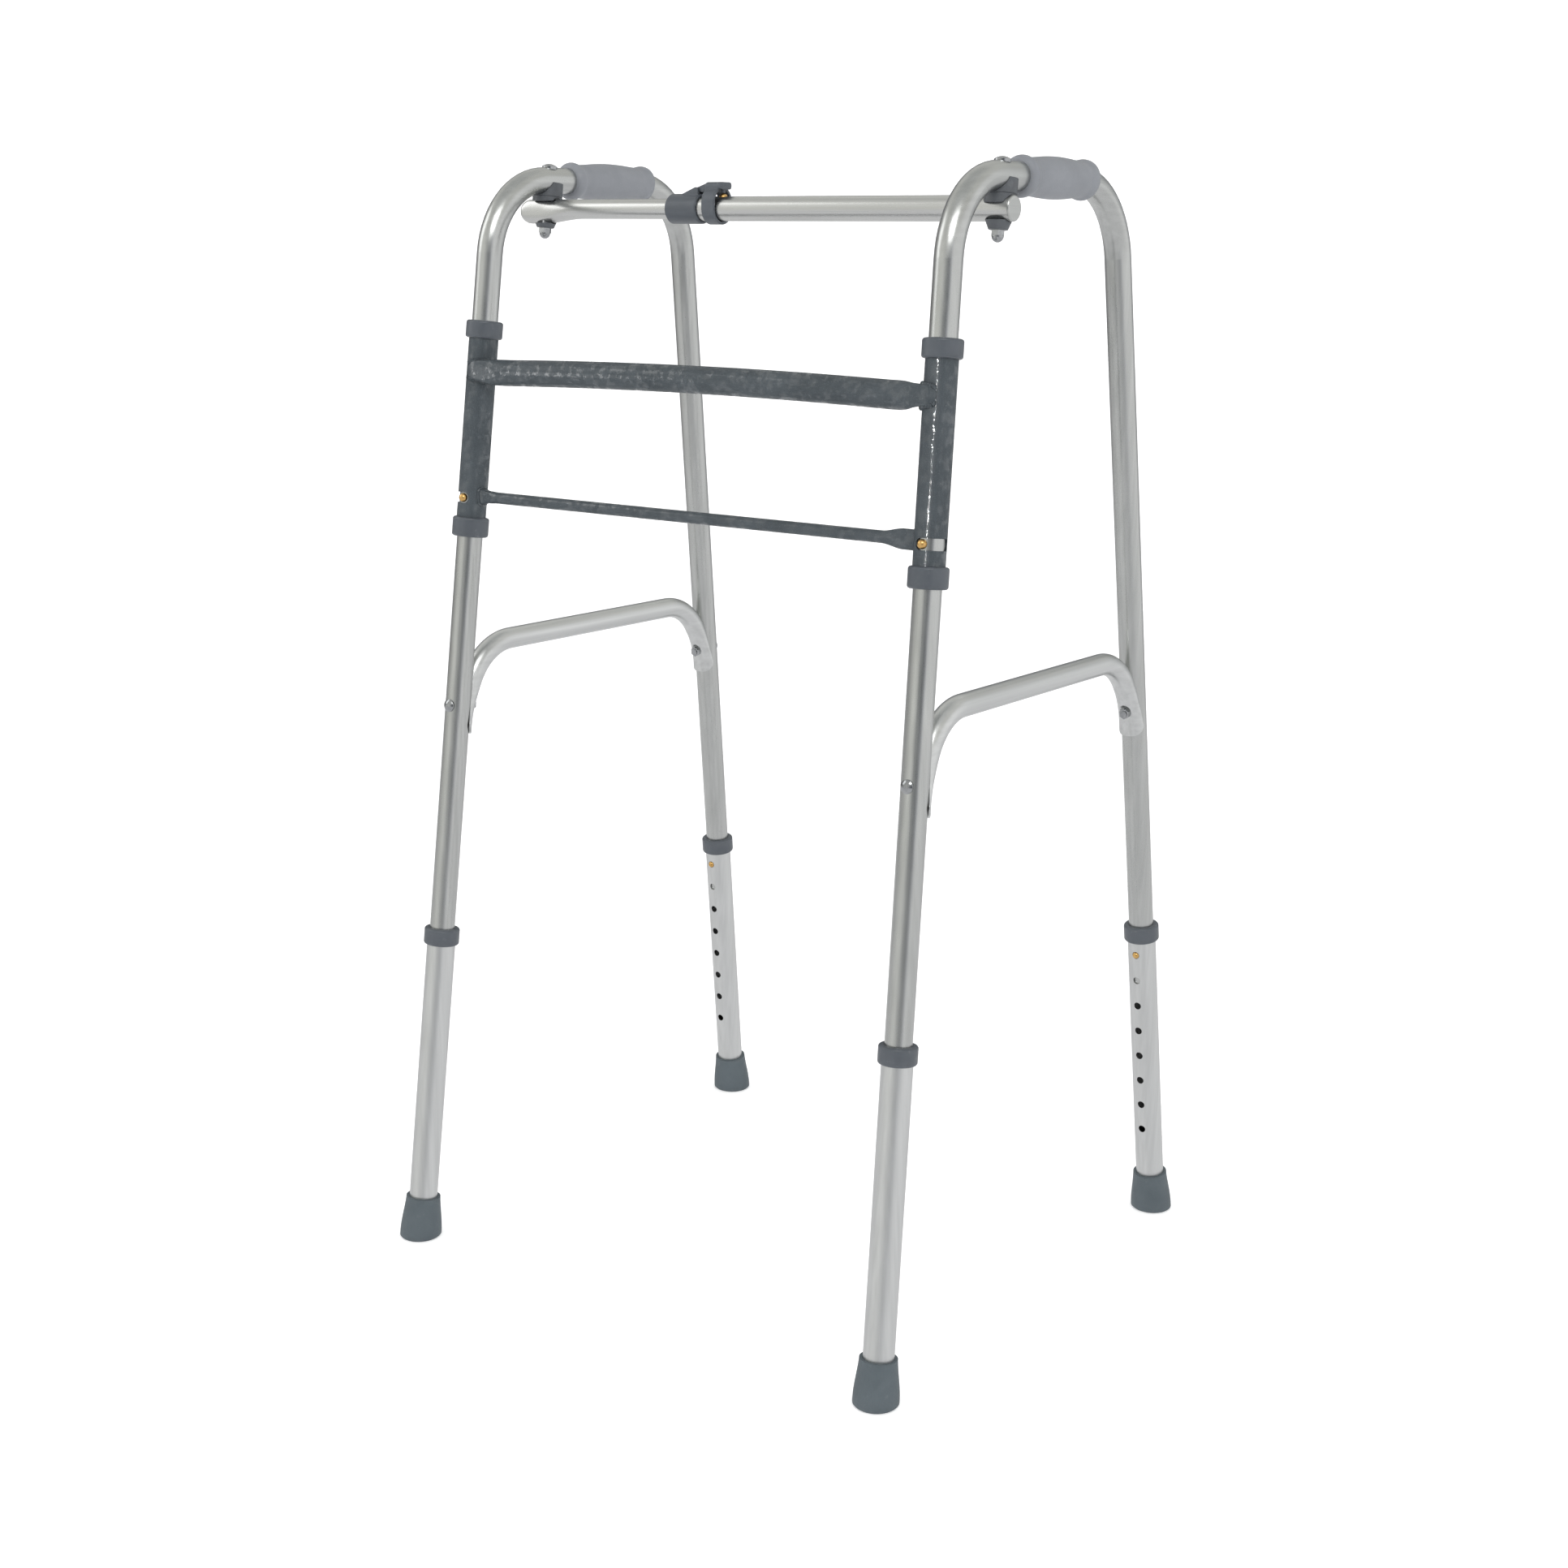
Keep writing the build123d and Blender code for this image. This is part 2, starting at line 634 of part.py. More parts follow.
# The inner bar is drawn on the right and mirrored to the left.
bolt_x = pivot_point(BAR_HEIGHT).X
flat_x = bolt_x - FLAT_START
round_x = flat_x - FLAT_TAPER
flat_plane = Plane(origin=(flat_x, BAR_Y, BAR_HEIGHT - FLAT_DROP),
                   x_dir=(0, 0, 1), z_dir=(1, 0, 0))
round_plane = Plane(origin=(round_x, BAR_Y, BAR_HEIGHT), x_dir=(0, 0, 1), z_dir=(1, 0, 0))


def inner_bar_core(inset):
    """The inner bar's outline, or its bore, from round to flattened."""
    with BuildPart() as core:
        with BuildSketch(bar_plane(-INNER_BAR_REACH)):
            Circle(INNER_BAR_R - inset)
        extrude(amount=round_x + INNER_BAR_REACH)
        with BuildSketch(round_plane):
            Circle(INNER_BAR_R - inset)
        with BuildSketch(flat_plane):
            SlotOverall(FLAT_TALL - 2 * inset, FLAT_WIDE - 2 * inset)
        loft()
        with BuildSketch(flat_plane):
            SlotOverall(FLAT_TALL - 2 * inset, FLAT_WIDE - 2 * inset)
        extrude(amount=FLAT_START + FLAT_END)
    return core.part


inner_solid = inner_bar_core(0)
with BuildPart() as inner_bar:
    add(inner_solid)
    add(inner_bar_core(INNER_BAR_WALL), mode=Mode.SUBTRACT)
    drill(pivot_plane(BAR_HEIGHT), BOLT_HOLE_R, FLAT_TALL, both=True)
    drill(Plane(origin=(-BAR_BUTTON_X, BAR_Y, BAR_HEIGHT)),
          BAR_BUTTON_R + 0.1, 2 * OUTER_BAR_R)
    mirror(about=Plane.YZ, mode=Mode.REPLACE)
save(inner_bar.part, "inner_bar")

# Closing cap on the open end of the outer bar.
with BuildPart() as end_cap:
    add(bar_rod(OUTER_BAR_R - OUTER_BAR_WALL - SEAT, OUTER_BAR_END - 6.5, OUTER_BAR_END))
    add(bar_rod(OUTER_BAR_R - 0.1, OUTER_BAR_END, OUTER_BAR_END + 1.8))
    fillet(end_cap.edges().group_by(Axis.X)[-1], radius=1.5)
save(end_cap.part, "outer_bar_end_cap")

# Clasp sleeve, fixed over the outer bar's mouth, with the lever's hinge on top.
hinge = (LEVER_HINGE_X, BAR_Y, BAR_HEIGHT + LEVER_HINGE_RISE)
PIN_R = 1.5
KNUCKLE_R = 2.5
KNUCKLE_WIDE = 5.8
EAR_WIDE = 11.0
with BuildPart() as clasp:
    add(bar_rod(CLASP_R, CLASP_START, CLASP_END))
    ends = clasp.edges().filter_by(GeomType.CIRCLE).sort_by(Axis.X)
    chamfer(ends[0], length=2.0)
    chamfer(ends[-1], length=0.8)
    with BuildSketch(Plane(origin=hinge, x_dir=(1, 0, 0), z_dir=(0, -1, 0))):
        Circle(KNUCKLE_R)
        with Locations((-6.0, -4.8)):
            Rectangle(17.0, 3.6)
        make_hull()
    extrude(amount=EAR_WIDE / 2, both=True)
    with BuildSketch(Plane(origin=hinge, x_dir=(1, 0, 0), z_dir=(0, -1, 0))):
        with Locations((3.0, 0)):
            Rectangle(12.5, 5.2)
    extrude(amount=KNUCKLE_WIDE / 2 + RUNNING, both=True, mode=Mode.SUBTRACT)
    add(bar_rod(OUTER_BAR_R + SEAT, OUTER_BAR_START, CLASP_END + 1.0), mode=Mode.SUBTRACT)
    add(bar_rod(INNER_BAR_R + 0.08, CLASP_START - 1.0, OUTER_BAR_START), mode=Mode.SUBTRACT)
    with BuildSketch(Plane(origin=hinge, x_dir=(1, 0, 0), z_dir=(0, -1, 0))):
        Circle(PIN_R)
    extrude(amount=EAR_WIDE / 2, both=True)
save(clasp.part, "bar_clasp")

# Clasp lever: a knuckle, a sloping bridge, a ring round the bar and a hood
# whose rib pushes the button down.
with BuildPart() as lever:
    with BuildSketch(bar_plane(RING_START)):
        Circle(RING_R)
        with Locations((0, RING_PLAY)):
            Circle(RING_R)
        with Locations((0, RING_PLAY / 2)):
            Rectangle(2 * RING_R, RING_PLAY)
        with Locations((0, HOOD_RISE / 2)):
            RectangleRounded(HOOD_WIDE, HOOD_RISE, 3.5)
    extrude(amount=RING_END - RING_START)
    with BuildSketch(bar_plane(RING_END)):
        with Locations((0, HOOD_RISE - 3.0)):
            RectangleRounded(HOOD_WIDE, 6.0, 2.4)
    extrude(amount=HOOD_END - RING_END)
    with BuildSketch(bar_plane(RING_START)):
        Circle(OUTER_BAR_R + 0.35)
        with Locations((0, RING_PLAY)):
            Circle(OUTER_BAR_R + 0.35)
        with Locations((0, RING_PLAY / 2)):
            Rectangle(2 * OUTER_BAR_R + 0.7, RING_PLAY)
    extrude(amount=HOOD_END - RING_START, mode=Mode.SUBTRACT)
    with BuildSketch(Plane(origin=hinge, x_dir=(1, 0, 0), z_dir=(0, -1, 0))):
        Circle(KNUCKLE_R)
        with BuildLine():
            Polyline((0, KNUCKLE_R), (12.2, HOOD_RISE - LEVER_HINGE_RISE),
                     (12.2, -1.0), (4.6, -1.6), (0, 0), close=True)
        make_face()
        Circle(PIN_R + RUNNING, mode=Mode.SUBTRACT)
    extrude(amount=KNUCKLE_WIDE / 2, both=True)
    with BuildSketch(Plane(origin=(BAR_BUTTON_X, BAR_Y, BAR_HEIGHT + OUTER_BAR_R + 2.6))):
        Rectangle(3.0, 3.0)
    extrude(amount=HOOD_RISE - OUTER_BAR_R - 4.0)
save(lever.part, "clasp_lever")

# Button of the top bar and its spring, both inside the inner bar.
BAR_BUTTON_SEAT = 5.1
button_face = Plane(origin=(BAR_BUTTON_X, BAR_Y, BAR_HEIGHT), x_dir=(1, 0, 0), z_dir=(0, -1, 0))
save(snap_button(button_face, BAR_BUTTON_SEAT, BAR_BUTTON_R, OUTER_BAR_R + 2.5), "bar_button")
save(leaf_spring(Vector(BAR_BUTTON_X, BAR_Y, BAR_HEIGHT), Vector(-1, 0, 0), Vector(0, 0, 1),
                 Vector(0, 1, 0), BAR_BUTTON_SEAT - 1.35, 5.6), "bar_button_spring")


# ---- Pivots that join the top bar to the handles ------------------------------
def pivot_disc(low, high, radius, low_radius):
    """A disc or cone about the pivot bolt, bored for it."""
    with BuildPart() as disc:
        with BuildSketch(pivot_plane(low)):
            Circle(low_radius)
        with BuildSketch(pivot_plane(high)):
            Circle(radius)
        loft()
        drill(pivot_plane(low), BOLT_HOLE_R, 3 * (high - low))
    return disc.part


with BuildPart() as handle_saddle:
    add(pivot_disc(SADDLE_SPLIT, SADDLE_TOP, SADDLE_R, SADDLE_R))
    add(HANDLE, mode=Mode.SUBTRACT)
save_pair(handle_saddle.part, "handle_saddle")

bar_shapes = {
    "right": bar_rod(OUTER_BAR_R + SEAT, 150.0, 290.0),
    "left": inner_solid,
}
for side, shape in bar_shapes.items():
    for name, low, high, low_r in (
        ("bar_saddle", SADDLE_BOTTOM, SADDLE_SPLIT, SADDLE_R),
        ("bar_cup", CUP_BOTTOM, CUP_TOP, 7.5),
    ):
        with BuildPart() as seat:
            add(pivot_disc(low, high, SADDLE_R if name == "bar_saddle" else 11.0, low_r))
            add(shape, mode=Mode.SUBTRACT)
            if side == "left":
                mirror(about=Plane.YZ, mode=Mode.REPLACE)
        save(seat.part, f"{side}_{name}")

HEAD_SEAT = 957.4
BOLT_END = 898.5
with BuildPart() as pivot_bolt:
    with BuildSketch(pivot_profile(HEAD_SEAT)):
        with BuildLine():
            Polyline((0, 2.6), (0, -2.2), (PIVOT_HEAD_R, -2.2), (PIVOT_HEAD_R, 0.4))
            dome(PIVOT_HEAD_R, 0.4, 2.2)
        make_face()
    revolve(axis=Axis(pivot_point(HEAD_SEAT), up_of(front_axis)))
    add(HANDLE, mode=Mode.SUBTRACT)
    with BuildSketch(pivot_plane(BOLT_END)):
        Circle(BOLT_R)
    extrude(amount=HEAD_SEAT + 1.0 - BOLT_END)
save_pair(pivot_bolt.part, "pivot_bolt")

NUT_ACROSS = 5.6
with BuildPart() as acorn_nut:
    with BuildSketch(pivot_plane(CUP_BOTTOM)):
        RegularPolygon(NUT_ACROSS, 6)
    extrude(amount=-4.4)
    with BuildSketch(pivot_profile(CUP_BOTTOM, -1)):
        with BuildLine():
            Polyline((0, 9.4), (0, 4.4), (4.7, 4.4), (4.7, 5.0))
            dome(4.7, 5.0, 4.4)
        make_face()
    revolve(axis=Axis(pivot_point(CUP_BOTTOM), up_of(front_axis)))
    with BuildSketch(pivot_plane(CUP_BOTTOM)):
        Circle(BOLT_R)
    extrude(amount=-8.2, mode=Mode.SUBTRACT)
save_pair(acorn_nut.part, "acorn_nut")
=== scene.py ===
import json
from math import cos, radians, sin, tan, tau

import bmesh
import bpy
from mathutils import Matrix, Quaternion, Vector


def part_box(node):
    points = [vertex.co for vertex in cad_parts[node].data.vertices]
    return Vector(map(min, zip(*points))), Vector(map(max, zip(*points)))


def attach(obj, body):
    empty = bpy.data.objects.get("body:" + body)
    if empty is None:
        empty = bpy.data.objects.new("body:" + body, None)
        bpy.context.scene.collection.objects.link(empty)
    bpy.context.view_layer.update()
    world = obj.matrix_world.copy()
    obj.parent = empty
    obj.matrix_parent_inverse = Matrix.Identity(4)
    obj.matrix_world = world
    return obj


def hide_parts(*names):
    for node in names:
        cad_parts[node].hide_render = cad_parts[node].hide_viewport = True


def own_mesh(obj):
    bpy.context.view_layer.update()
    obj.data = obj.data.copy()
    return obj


# Looks of a folding aluminium walking frame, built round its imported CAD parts.
# Metres, +Z up, the front of the frame faces -Y and the user stands at +Y.

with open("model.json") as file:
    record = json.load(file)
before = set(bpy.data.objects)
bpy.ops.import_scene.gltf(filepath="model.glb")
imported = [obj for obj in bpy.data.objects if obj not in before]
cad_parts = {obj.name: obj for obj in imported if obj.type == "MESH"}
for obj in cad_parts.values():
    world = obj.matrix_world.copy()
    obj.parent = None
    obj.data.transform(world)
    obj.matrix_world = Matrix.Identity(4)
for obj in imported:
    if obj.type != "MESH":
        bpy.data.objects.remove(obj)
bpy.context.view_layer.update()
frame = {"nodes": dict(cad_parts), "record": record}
nodes = frame["nodes"]

MM = 0.001
STAND_OFF = 0.12 * MM        # how far a look stays clear of the tube under it


# ---- Shader building ---------------------------------------------------------
class Shader:
    """A material's node tree, with short calls for the nodes used here."""

    def __init__(self, name):
        self.material = bpy.data.materials.new(name)
        self.material.use_nodes = True
        self.tree = self.material.node_tree
        self.tree.nodes.clear()
        self.out = self.add("ShaderNodeOutputMaterial")
        self.bsdf = self.add("ShaderNodeBsdfPrincipled")
        self.link(self.bsdf.outputs[0], self.out.inputs[0])
        self.place = self.add("ShaderNodeTexCoord").outputs["Object"]

    def add(self, kind, **settings):
        node = self.tree.nodes.new(kind)
        for key, value in settings.items():
            setattr(node, key, value)
        return node

    def link(self, a, b):
        self.tree.links.new(a, b)

    def put(self, socket, value):
        """Gives an input a link or a plain value."""
        if isinstance(value, bpy.types.NodeSocket):
            self.link(value, socket)
        else:
            socket.default_value = value

    def math(self, operation, a, b):
        node = self.add("ShaderNodeMath", operation=operation)
        self.put(node.inputs[0], a)
        self.put(node.inputs[1], b)
        return node.outputs[0]

    def stretch(self, scale):
        node = self.add("ShaderNodeMapping")
        self.link(self.place, node.inputs["Vector"])
        node.inputs["Scale"].default_value = scale
        return node.outputs[0]

    def noise(self, scale, detail=3.0, rough=0.5, vector=None, distortion=0.0):
        node = self.add("ShaderNodeTexNoise")
        self.link(vector or self.place, node.inputs["Vector"])
        node.inputs["Scale"].default_value = scale
        node.inputs["Detail"].default_value = detail
        node.inputs["Roughness"].default_value = rough
        node.inputs["Distortion"].default_value = distortion
        return node.outputs["Fac"]

    def cells(self, scale):
        node = self.add("ShaderNodeTexVoronoi", feature="F1")
        self.link(self.place, node.inputs["Vector"])
        node.inputs["Scale"].default_value = scale
        return node.outputs["Distance"]

    def span(self, value, low, high, to_low=0.0, to_high=1.0, smooth=False):
        node = self.add("ShaderNodeMapRange")
        if smooth:
            node.interpolation_type = "SMOOTHSTEP"
        self.put(node.inputs["Value"], value)
        for key, number in (("From Min", low), ("From Max", high),
                            ("To Min", to_low), ("To Max", to_high)):
            node.inputs[key].default_value = number
        return node.outputs[0]

    def mix(self, factor, a, b):
        node = self.add("ShaderNodeMix", data_type="RGBA")
        self.put(node.inputs[0], factor)
        self.put(node.inputs[6], a)
        self.put(node.inputs[7], b)
        return node.outputs[2]

    def blend(self, factor, a, b):
        node = self.add("ShaderNodeMix", data_type="FLOAT")
        self.put(node.inputs[0], factor)
        self.put(node.inputs[2], a)
        self.put(node.inputs[3], b)
        return node.outputs[0]

    def bump(self, height, distance, strength=1.0, normal=None):
        node = self.add("ShaderNodeBump")
        self.link(height, node.inputs["Height"])
        node.inputs["Distance"].default_value = distance
        node.inputs["Strength"].default_value = strength
        if normal:
            self.link(normal, node.inputs["Normal"])
        return node.outputs[0]

    def soft_edge(self, radius):
        """Rounds sharp edges in the shading."""
        node = self.add("ShaderNodeBevel", samples=4)
        node.inputs["Radius"].default_value = radius
        return node.outputs[0]

    def axis(self, index):
        node = self.add("ShaderNodeSeparateXYZ")
        self.link(self.place, node.inputs[0])
        return node.outputs[index]

    def set(self, **values):
        names = {"color": "Base Color", "rough": "Roughness", "metal": "Metallic",
                 "normal": "Normal", "coat": "Coat Weight", "coat_rough": "Coat Roughness",
                 "coat_normal": "Coat Normal", "specular": "Specular IOR Level"}
        for key, value in values.items():
            self.put(self.bsdf.inputs[names[key]], value)
        return self.material


def rgb(red, green, blue):
    return (red, green, blue, 1.0)


def drawn_aluminium(name, along, dark, light, rough):
    """Satin anodised tube: fine drawing lines along it, soft streaks, light wear.
    along is "X", "Y", or "side" for a side frame, which runs up and then level."""
    s = Shader(name)
    fine, slow = 1100.0, 9.0

    def lines(direction, scale, stretch):
        vector = [scale, scale, scale]
        vector["XYZ".index(direction)] = stretch
        return s.noise(1.0, 2.0, 0.55, s.stretch(vector))

    if along == "side":
        level = s.span(s.axis(2), 0.86, 0.93, smooth=True)
        grain = s.blend(level, lines("Z", fine, slow), lines("Y", fine, slow))
        streak = s.blend(level, lines("Z", 240.0, 4.0), lines("Y", 240.0, 4.0))
    else:
        grain = lines(along, fine, slow)
        streak = lines(along, 240.0, 4.0)
    cloud = s.noise(14.0, 3.0, 0.5)
    scuff = s.span(s.noise(70.0, 5.0, 0.7, distortion=0.5), 0.64, 0.74)
    tone = s.mix(s.span(streak, 0.3, 0.7), dark, light)
    tone = s.mix(s.math("MULTIPLY", scuff, 0.12), tone, rgb(0.42, 0.42, 0.43))
    turned = s.math("ADD", s.span(cloud, 0.3, 0.7, rough - 0.015, rough + 0.015),
                    s.span(grain, 0.2, 0.8, -0.02, 0.03))
    turned = s.math("ADD", turned, s.math("MULTIPLY", scuff, 0.03))
    normal = s.bump(grain, 0.00002, 0.15)
    return s.set(color=tone, metal=1.0, rough=turned, normal=normal)


def speckled_paint():
    """Dark glossy powder coat: its orange peel breaks a highlight into sparkles."""
    s = Shader("dark_paint")
    peel = s.noise(190.0, 3.0, 0.6)
    grit = s.cells(1100.0)
    fleck = s.span(s.noise(1900.0, 1.0, 0.5), 0.62, 0.72)
    cloud = s.noise(25.0, 3.0, 0.5)
    gloss = s.span(s.noise(150.0, 2.0, 0.6), 0.50, 0.60, 0.22, 1.0, smooth=True)
    tone = s.mix(s.span(cloud, 0.3, 0.7), rgb(0.046, 0.055, 0.062), rgb(0.064, 0.075, 0.084))
    tone = s.mix(s.math("MULTIPLY", fleck, 0.30), tone, rgb(0.19, 0.21, 0.22))
    coarse = s.bump(peel, 0.0004, 0.30)
    normal = s.bump(grit, 0.0002, 0.22, coarse)
    return s.set(color=tone, rough=s.span(cloud, 0.3, 0.7, 0.42, 0.50), specular=0.08,
                 normal=coarse, coat=gloss, coat_rough=0.04, coat_normal=normal)


def moulded_plastic(name, dark, light, rough, bump=0.00012, edge=0.0006, scale=900.0):
    """Moulded plastic with a fine texture, faint marbling and rubbed edges."""
    s = Shader(name)
    marble = s.noise(30.0, 5.0, 0.6, distortion=0.4)
    texture = s.noise(scale, 3.0, 0.55)
    rub = s.span(s.noise(90.0, 4.0, 0.65), 0.62, 0.75)
    tone = s.mix(s.span(marble, 0.3, 0.7), dark, light)
    tone = s.mix(s.math("MULTIPLY", rub, 0.10), tone, rgb(0.45, 0.46, 0.48))
    roughness = s.math("ADD", s.span(texture, 0.3, 0.7, rough - 0.05, rough + 0.06),
                       s.math("MULTIPLY", rub, 0.06))
    normal = s.bump(texture, bump, 0.6, s.soft_edge(edge))
    return s.set(color=tone, rough=roughness, normal=normal, specular=0.5)


def plated(name, dark, light, rough, scale=700.0):
    """Bright plated or turned metal with faint clouding."""
    s = Shader(name)
    cloud = s.noise(160.0, 4.0, 0.6)
    pit = s.noise(scale, 3.0, 0.6)
    tone = s.mix(s.span(cloud, 0.3, 0.7), dark, light)
    normal = s.bump(pit, 0.00005, 0.4, s.soft_edge(0.0003))
    return s.set(color=tone, metal=1.0, rough=s.span(cloud, 0.3, 0.7, rough, rough + 0.12),
                 normal=normal)


materials = {
    "aluminium_side": drawn_aluminium("aluminium_side", "side", rgb(0.490, 0.500, 0.490),
                                      rgb(0.565, 0.575, 0.565), 0.28),
    "aluminium_leg": drawn_aluminium("aluminium_leg", "side", rgb(0.635, 0.645, 0.640),
                                     rgb(0.715, 0.725, 0.720), 0.38),
    "aluminium_x": drawn_aluminium("aluminium_x", "X", rgb(0.565, 0.570, 0.560),
                                   rgb(0.640, 0.645, 0.635), 0.27),
    "aluminium_y": drawn_aluminium("aluminium_y", "Y", rgb(0.600, 0.610, 0.605),
                                   rgb(0.690, 0.700, 0.695), 0.30),
    "dark_paint": speckled_paint(),
    "slate_plastic": moulded_plastic("slate_plastic", rgb(0.058, 0.067, 0.079),
                                     rgb(0.078, 0.088, 0.102), 0.36),
    "grey_plastic": moulded_plastic("grey_plastic", rgb(0.062, 0.068, 0.076),
                                    rgb(0.082, 0.090, 0.100), 0.40),
    "grip_plastic": moulded_plastic("grip_plastic", rgb(0.190, 0.200, 0.220),
                                    rgb(0.225, 0.236, 0.258), 0.50, 0.0002, 0.001, 1400.0),
    "foot_rubber": moulded_plastic("foot_rubber", rgb(0.064, 0.082, 0.094),
                                   rgb(0.085, 0.106, 0.120), 0.55, 0.00025, 0.001, 700.0),
    "brass": plated("brass", rgb(0.62, 0.36, 0.11), rgb(0.78, 0.50, 0.20), 0.22),
    "zinc": plated("zinc", rgb(0.30, 0.31, 0.32), rgb(0.48, 0.49, 0.50), 0.14),
    "spring_steel": plated("spring_steel", rgb(0.40, 0.40, 0.41), rgb(0.52, 0.52, 0.53), 0.30),
}
slot_of = {row["node"]: row["material_slot"] for row in frame["record"]["subparts"]}


def finish_of(node):
    """The material a CAD node takes: aluminium follows the way its tube runs."""
    name = slot_of[node]
    if name != "aluminium":
        return materials[name]
    if node in ("outer_bar", "inner_bar"):
        return materials["aluminium_x"]
    if node.endswith("brace"):
        return materials["aluminium_y"]
    if node.endswith("leg_tube"):
        return materials["aluminium_leg"]
    return materials["aluminium_side"]


for node, piece in nodes.items():
    piece.data.materials.clear()
    piece.data.materials.append(finish_of(node))
    piece.data.polygons.foreach_set("use_smooth", [True] * len(piece.data.polygons))


# ---- Mesh building -----------------------------------------------------------
HALF_TRACK = 254.2 * MM
HALF_DEPTH = 235.4 * MM
SIDE_SLOPE = 0.0241
FRONT_SLOPE = 0.1098
REAR_SLOPE = 0.1248


def front_axis(z):
    return Vector((HALF_TRACK - SIDE_SLOPE * z, -HALF_DEPTH + FRONT_SLOPE * z, z))


def rear_axis(z):
    return Vector((HALF_TRACK - SIDE_SLOPE * z, HALF_DEPTH - REAR_SLOPE * z, z))


LEG_AXES = {"front": front_axis, "rear": rear_axis}
Y_AXIS = Vector((0, 1, 0))
X_AXIS = Vector((1, 0, 0))
Z_AXIS = Vector((0, 0, 1))


def up_of(axis):
    return (axis(1.0) - axis(0.0)).normalized()


def across(direction, up):
    return (direction - up * direction.dot(up)).normalized()


def ease(value, low, high):
    """Smooth step from 0 at low to 1 at high; low may be the larger one."""
    t = min(1.0, max(0.0, (value - low) / (high - low)))
    return t * t * (3 - 2 * t)


def signed_power(value, power):
    return (1 if value >= 0 else -1) * abs(value) ** power


def spline(knots, x):
    """Smooth curve through (x, y) knots, level at both ends."""
    if x <= knots[0][0]:
        return knots[0][1]
    for i in range(len(knots) - 1):
        (x0, y0), (x1, y1) = knots[i], knots[i + 1]
        if x <= x1:
            before = knots[max(i - 1, 0)]
            after = knots[min(i + 2, len(knots) - 1)]
            m0 = (y1 - before[1]) / (x1 - before[0])
            m1 = (after[1] - y0) / (after[0] - x0)
            w, t = x1 - x0, (x - x0) / (x1 - x0)
            return ((2 * t**3 - 3 * t**2 + 1) * y0 + (t**3 - 2 * t**2 + t) * w * m0
                    + (-2 * t**3 + 3 * t**2) * y1 + (t**3 - t**2) * w * m1)
    return knots[-1][1]


def filleted(corners, radius, step):
    """Evenly stepped points along a polyline whose inner corners are rounded."""
    points = [corners[0]]
    for before, corner, after in zip(corners, corners[1:], corners[2:]):
        a, b = (before - corner).normalized(), (after - corner).normalized()
        half = a.angle(b) / 2
        reach = radius / tan(half)
        centre = corner + (a + b).normalized() * (radius / sin(half))
        start, end = corner + a * reach, corner + b * reach
        run_in = (start - points[-1]).length
        count = max(1, round(run_in / step))
        points += [points[-1].lerp(start, i / count) for i in range(1, count)]
        turn = (start - centre).rotation_difference(end - centre)
        count = max(2, round(turn.angle * radius / step))
        axis, angle = turn.to_axis_angle()
        for i in range(count + 1):
            points.append(centre + Quaternion(axis, angle * i / count) @ (start - centre))
    count = max(1, round((corners[-1] - points[-1]).length / step))
    last = points[-1]
    points += [last.lerp(corners[-1], i / count) for i in range(1, count + 1)]
    return points


def tangents(points):
    """The direction of travel at each point, from its neighbours."""
    last = len(points) - 1
    return [(points[min(i + 1, last)] - points[max(i - 1, 0)]).normalized()
            for i in range(len(points))]


def lofted(name, rings, zipped=False):
    """A smooth mesh through rings of points. zipped ends join each point to the one
    across the ring; other ends are fanned to their middle."""
    mesh = bpy.data.meshes.new(name)
    size = len(rings[0])
    points = [p for ring in rings for p in ring]
    faces = []
    for r in range(len(rings) - 1):
        a, b = r * size, (r + 1) * size
        for i in range(size):
            j = (i + 1) % size
            faces.append((a + i, a + j, b + j, b + i))
    for ring, flip in ((0, True), (len(rings) - 1, False)):
        base = ring * size
        if zipped:
            for i in range(size // 2):
                quad = [base + i, base + i + 1, base + size - i - 1, base + (size - i) % size]
                quad = list(dict.fromkeys(quad))
                faces.append(tuple(reversed(quad)) if flip else tuple(quad))
        else:
            points.append(sum(rings[ring], Vector()) / size)
            for i in range(size):
                face = (base + i, base + (i + 1) % size, len(points) - 1)
                faces.append(tuple(reversed(face)) if flip else face)
    mesh.from_pydata(points, [], faces)
    mesh.validate()
    work = bmesh.new()
    work.from_mesh(mesh)
    bmesh.ops.remove_doubles(work, verts=work.verts, dist=1e-6)
    bmesh.ops.recalc_face_normals(work, faces=work.faces)
    work.to_mesh(mesh)
    work.free()
    mesh.polygons.foreach_set("use_smooth", [True] * len(mesh.polygons))
    mesh.set_sharp_from_angle(angle=radians(50))
    piece = bpy.data.objects.new(name, mesh)
    bpy.context.scene.collection.objects.link(piece)
    return piece


def dress(piece, material, body, slot, *stands_for):
    """Gives a piece its material, CAD body and the nodes it replaces; its slot argument is not
    used.
    """
    piece.data.materials.clear()
    piece.data.materials.append(materials[material])
    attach(piece, body)
    if stands_for:
        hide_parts(*stands_for)
    return piece


def on_side(side, point):
    return point if side == "right" else Vector((-point.x, point.y, point.z))


def mirrored(side, rings):
    return [[on_side(side, p) for p in ring] for ring in rings]


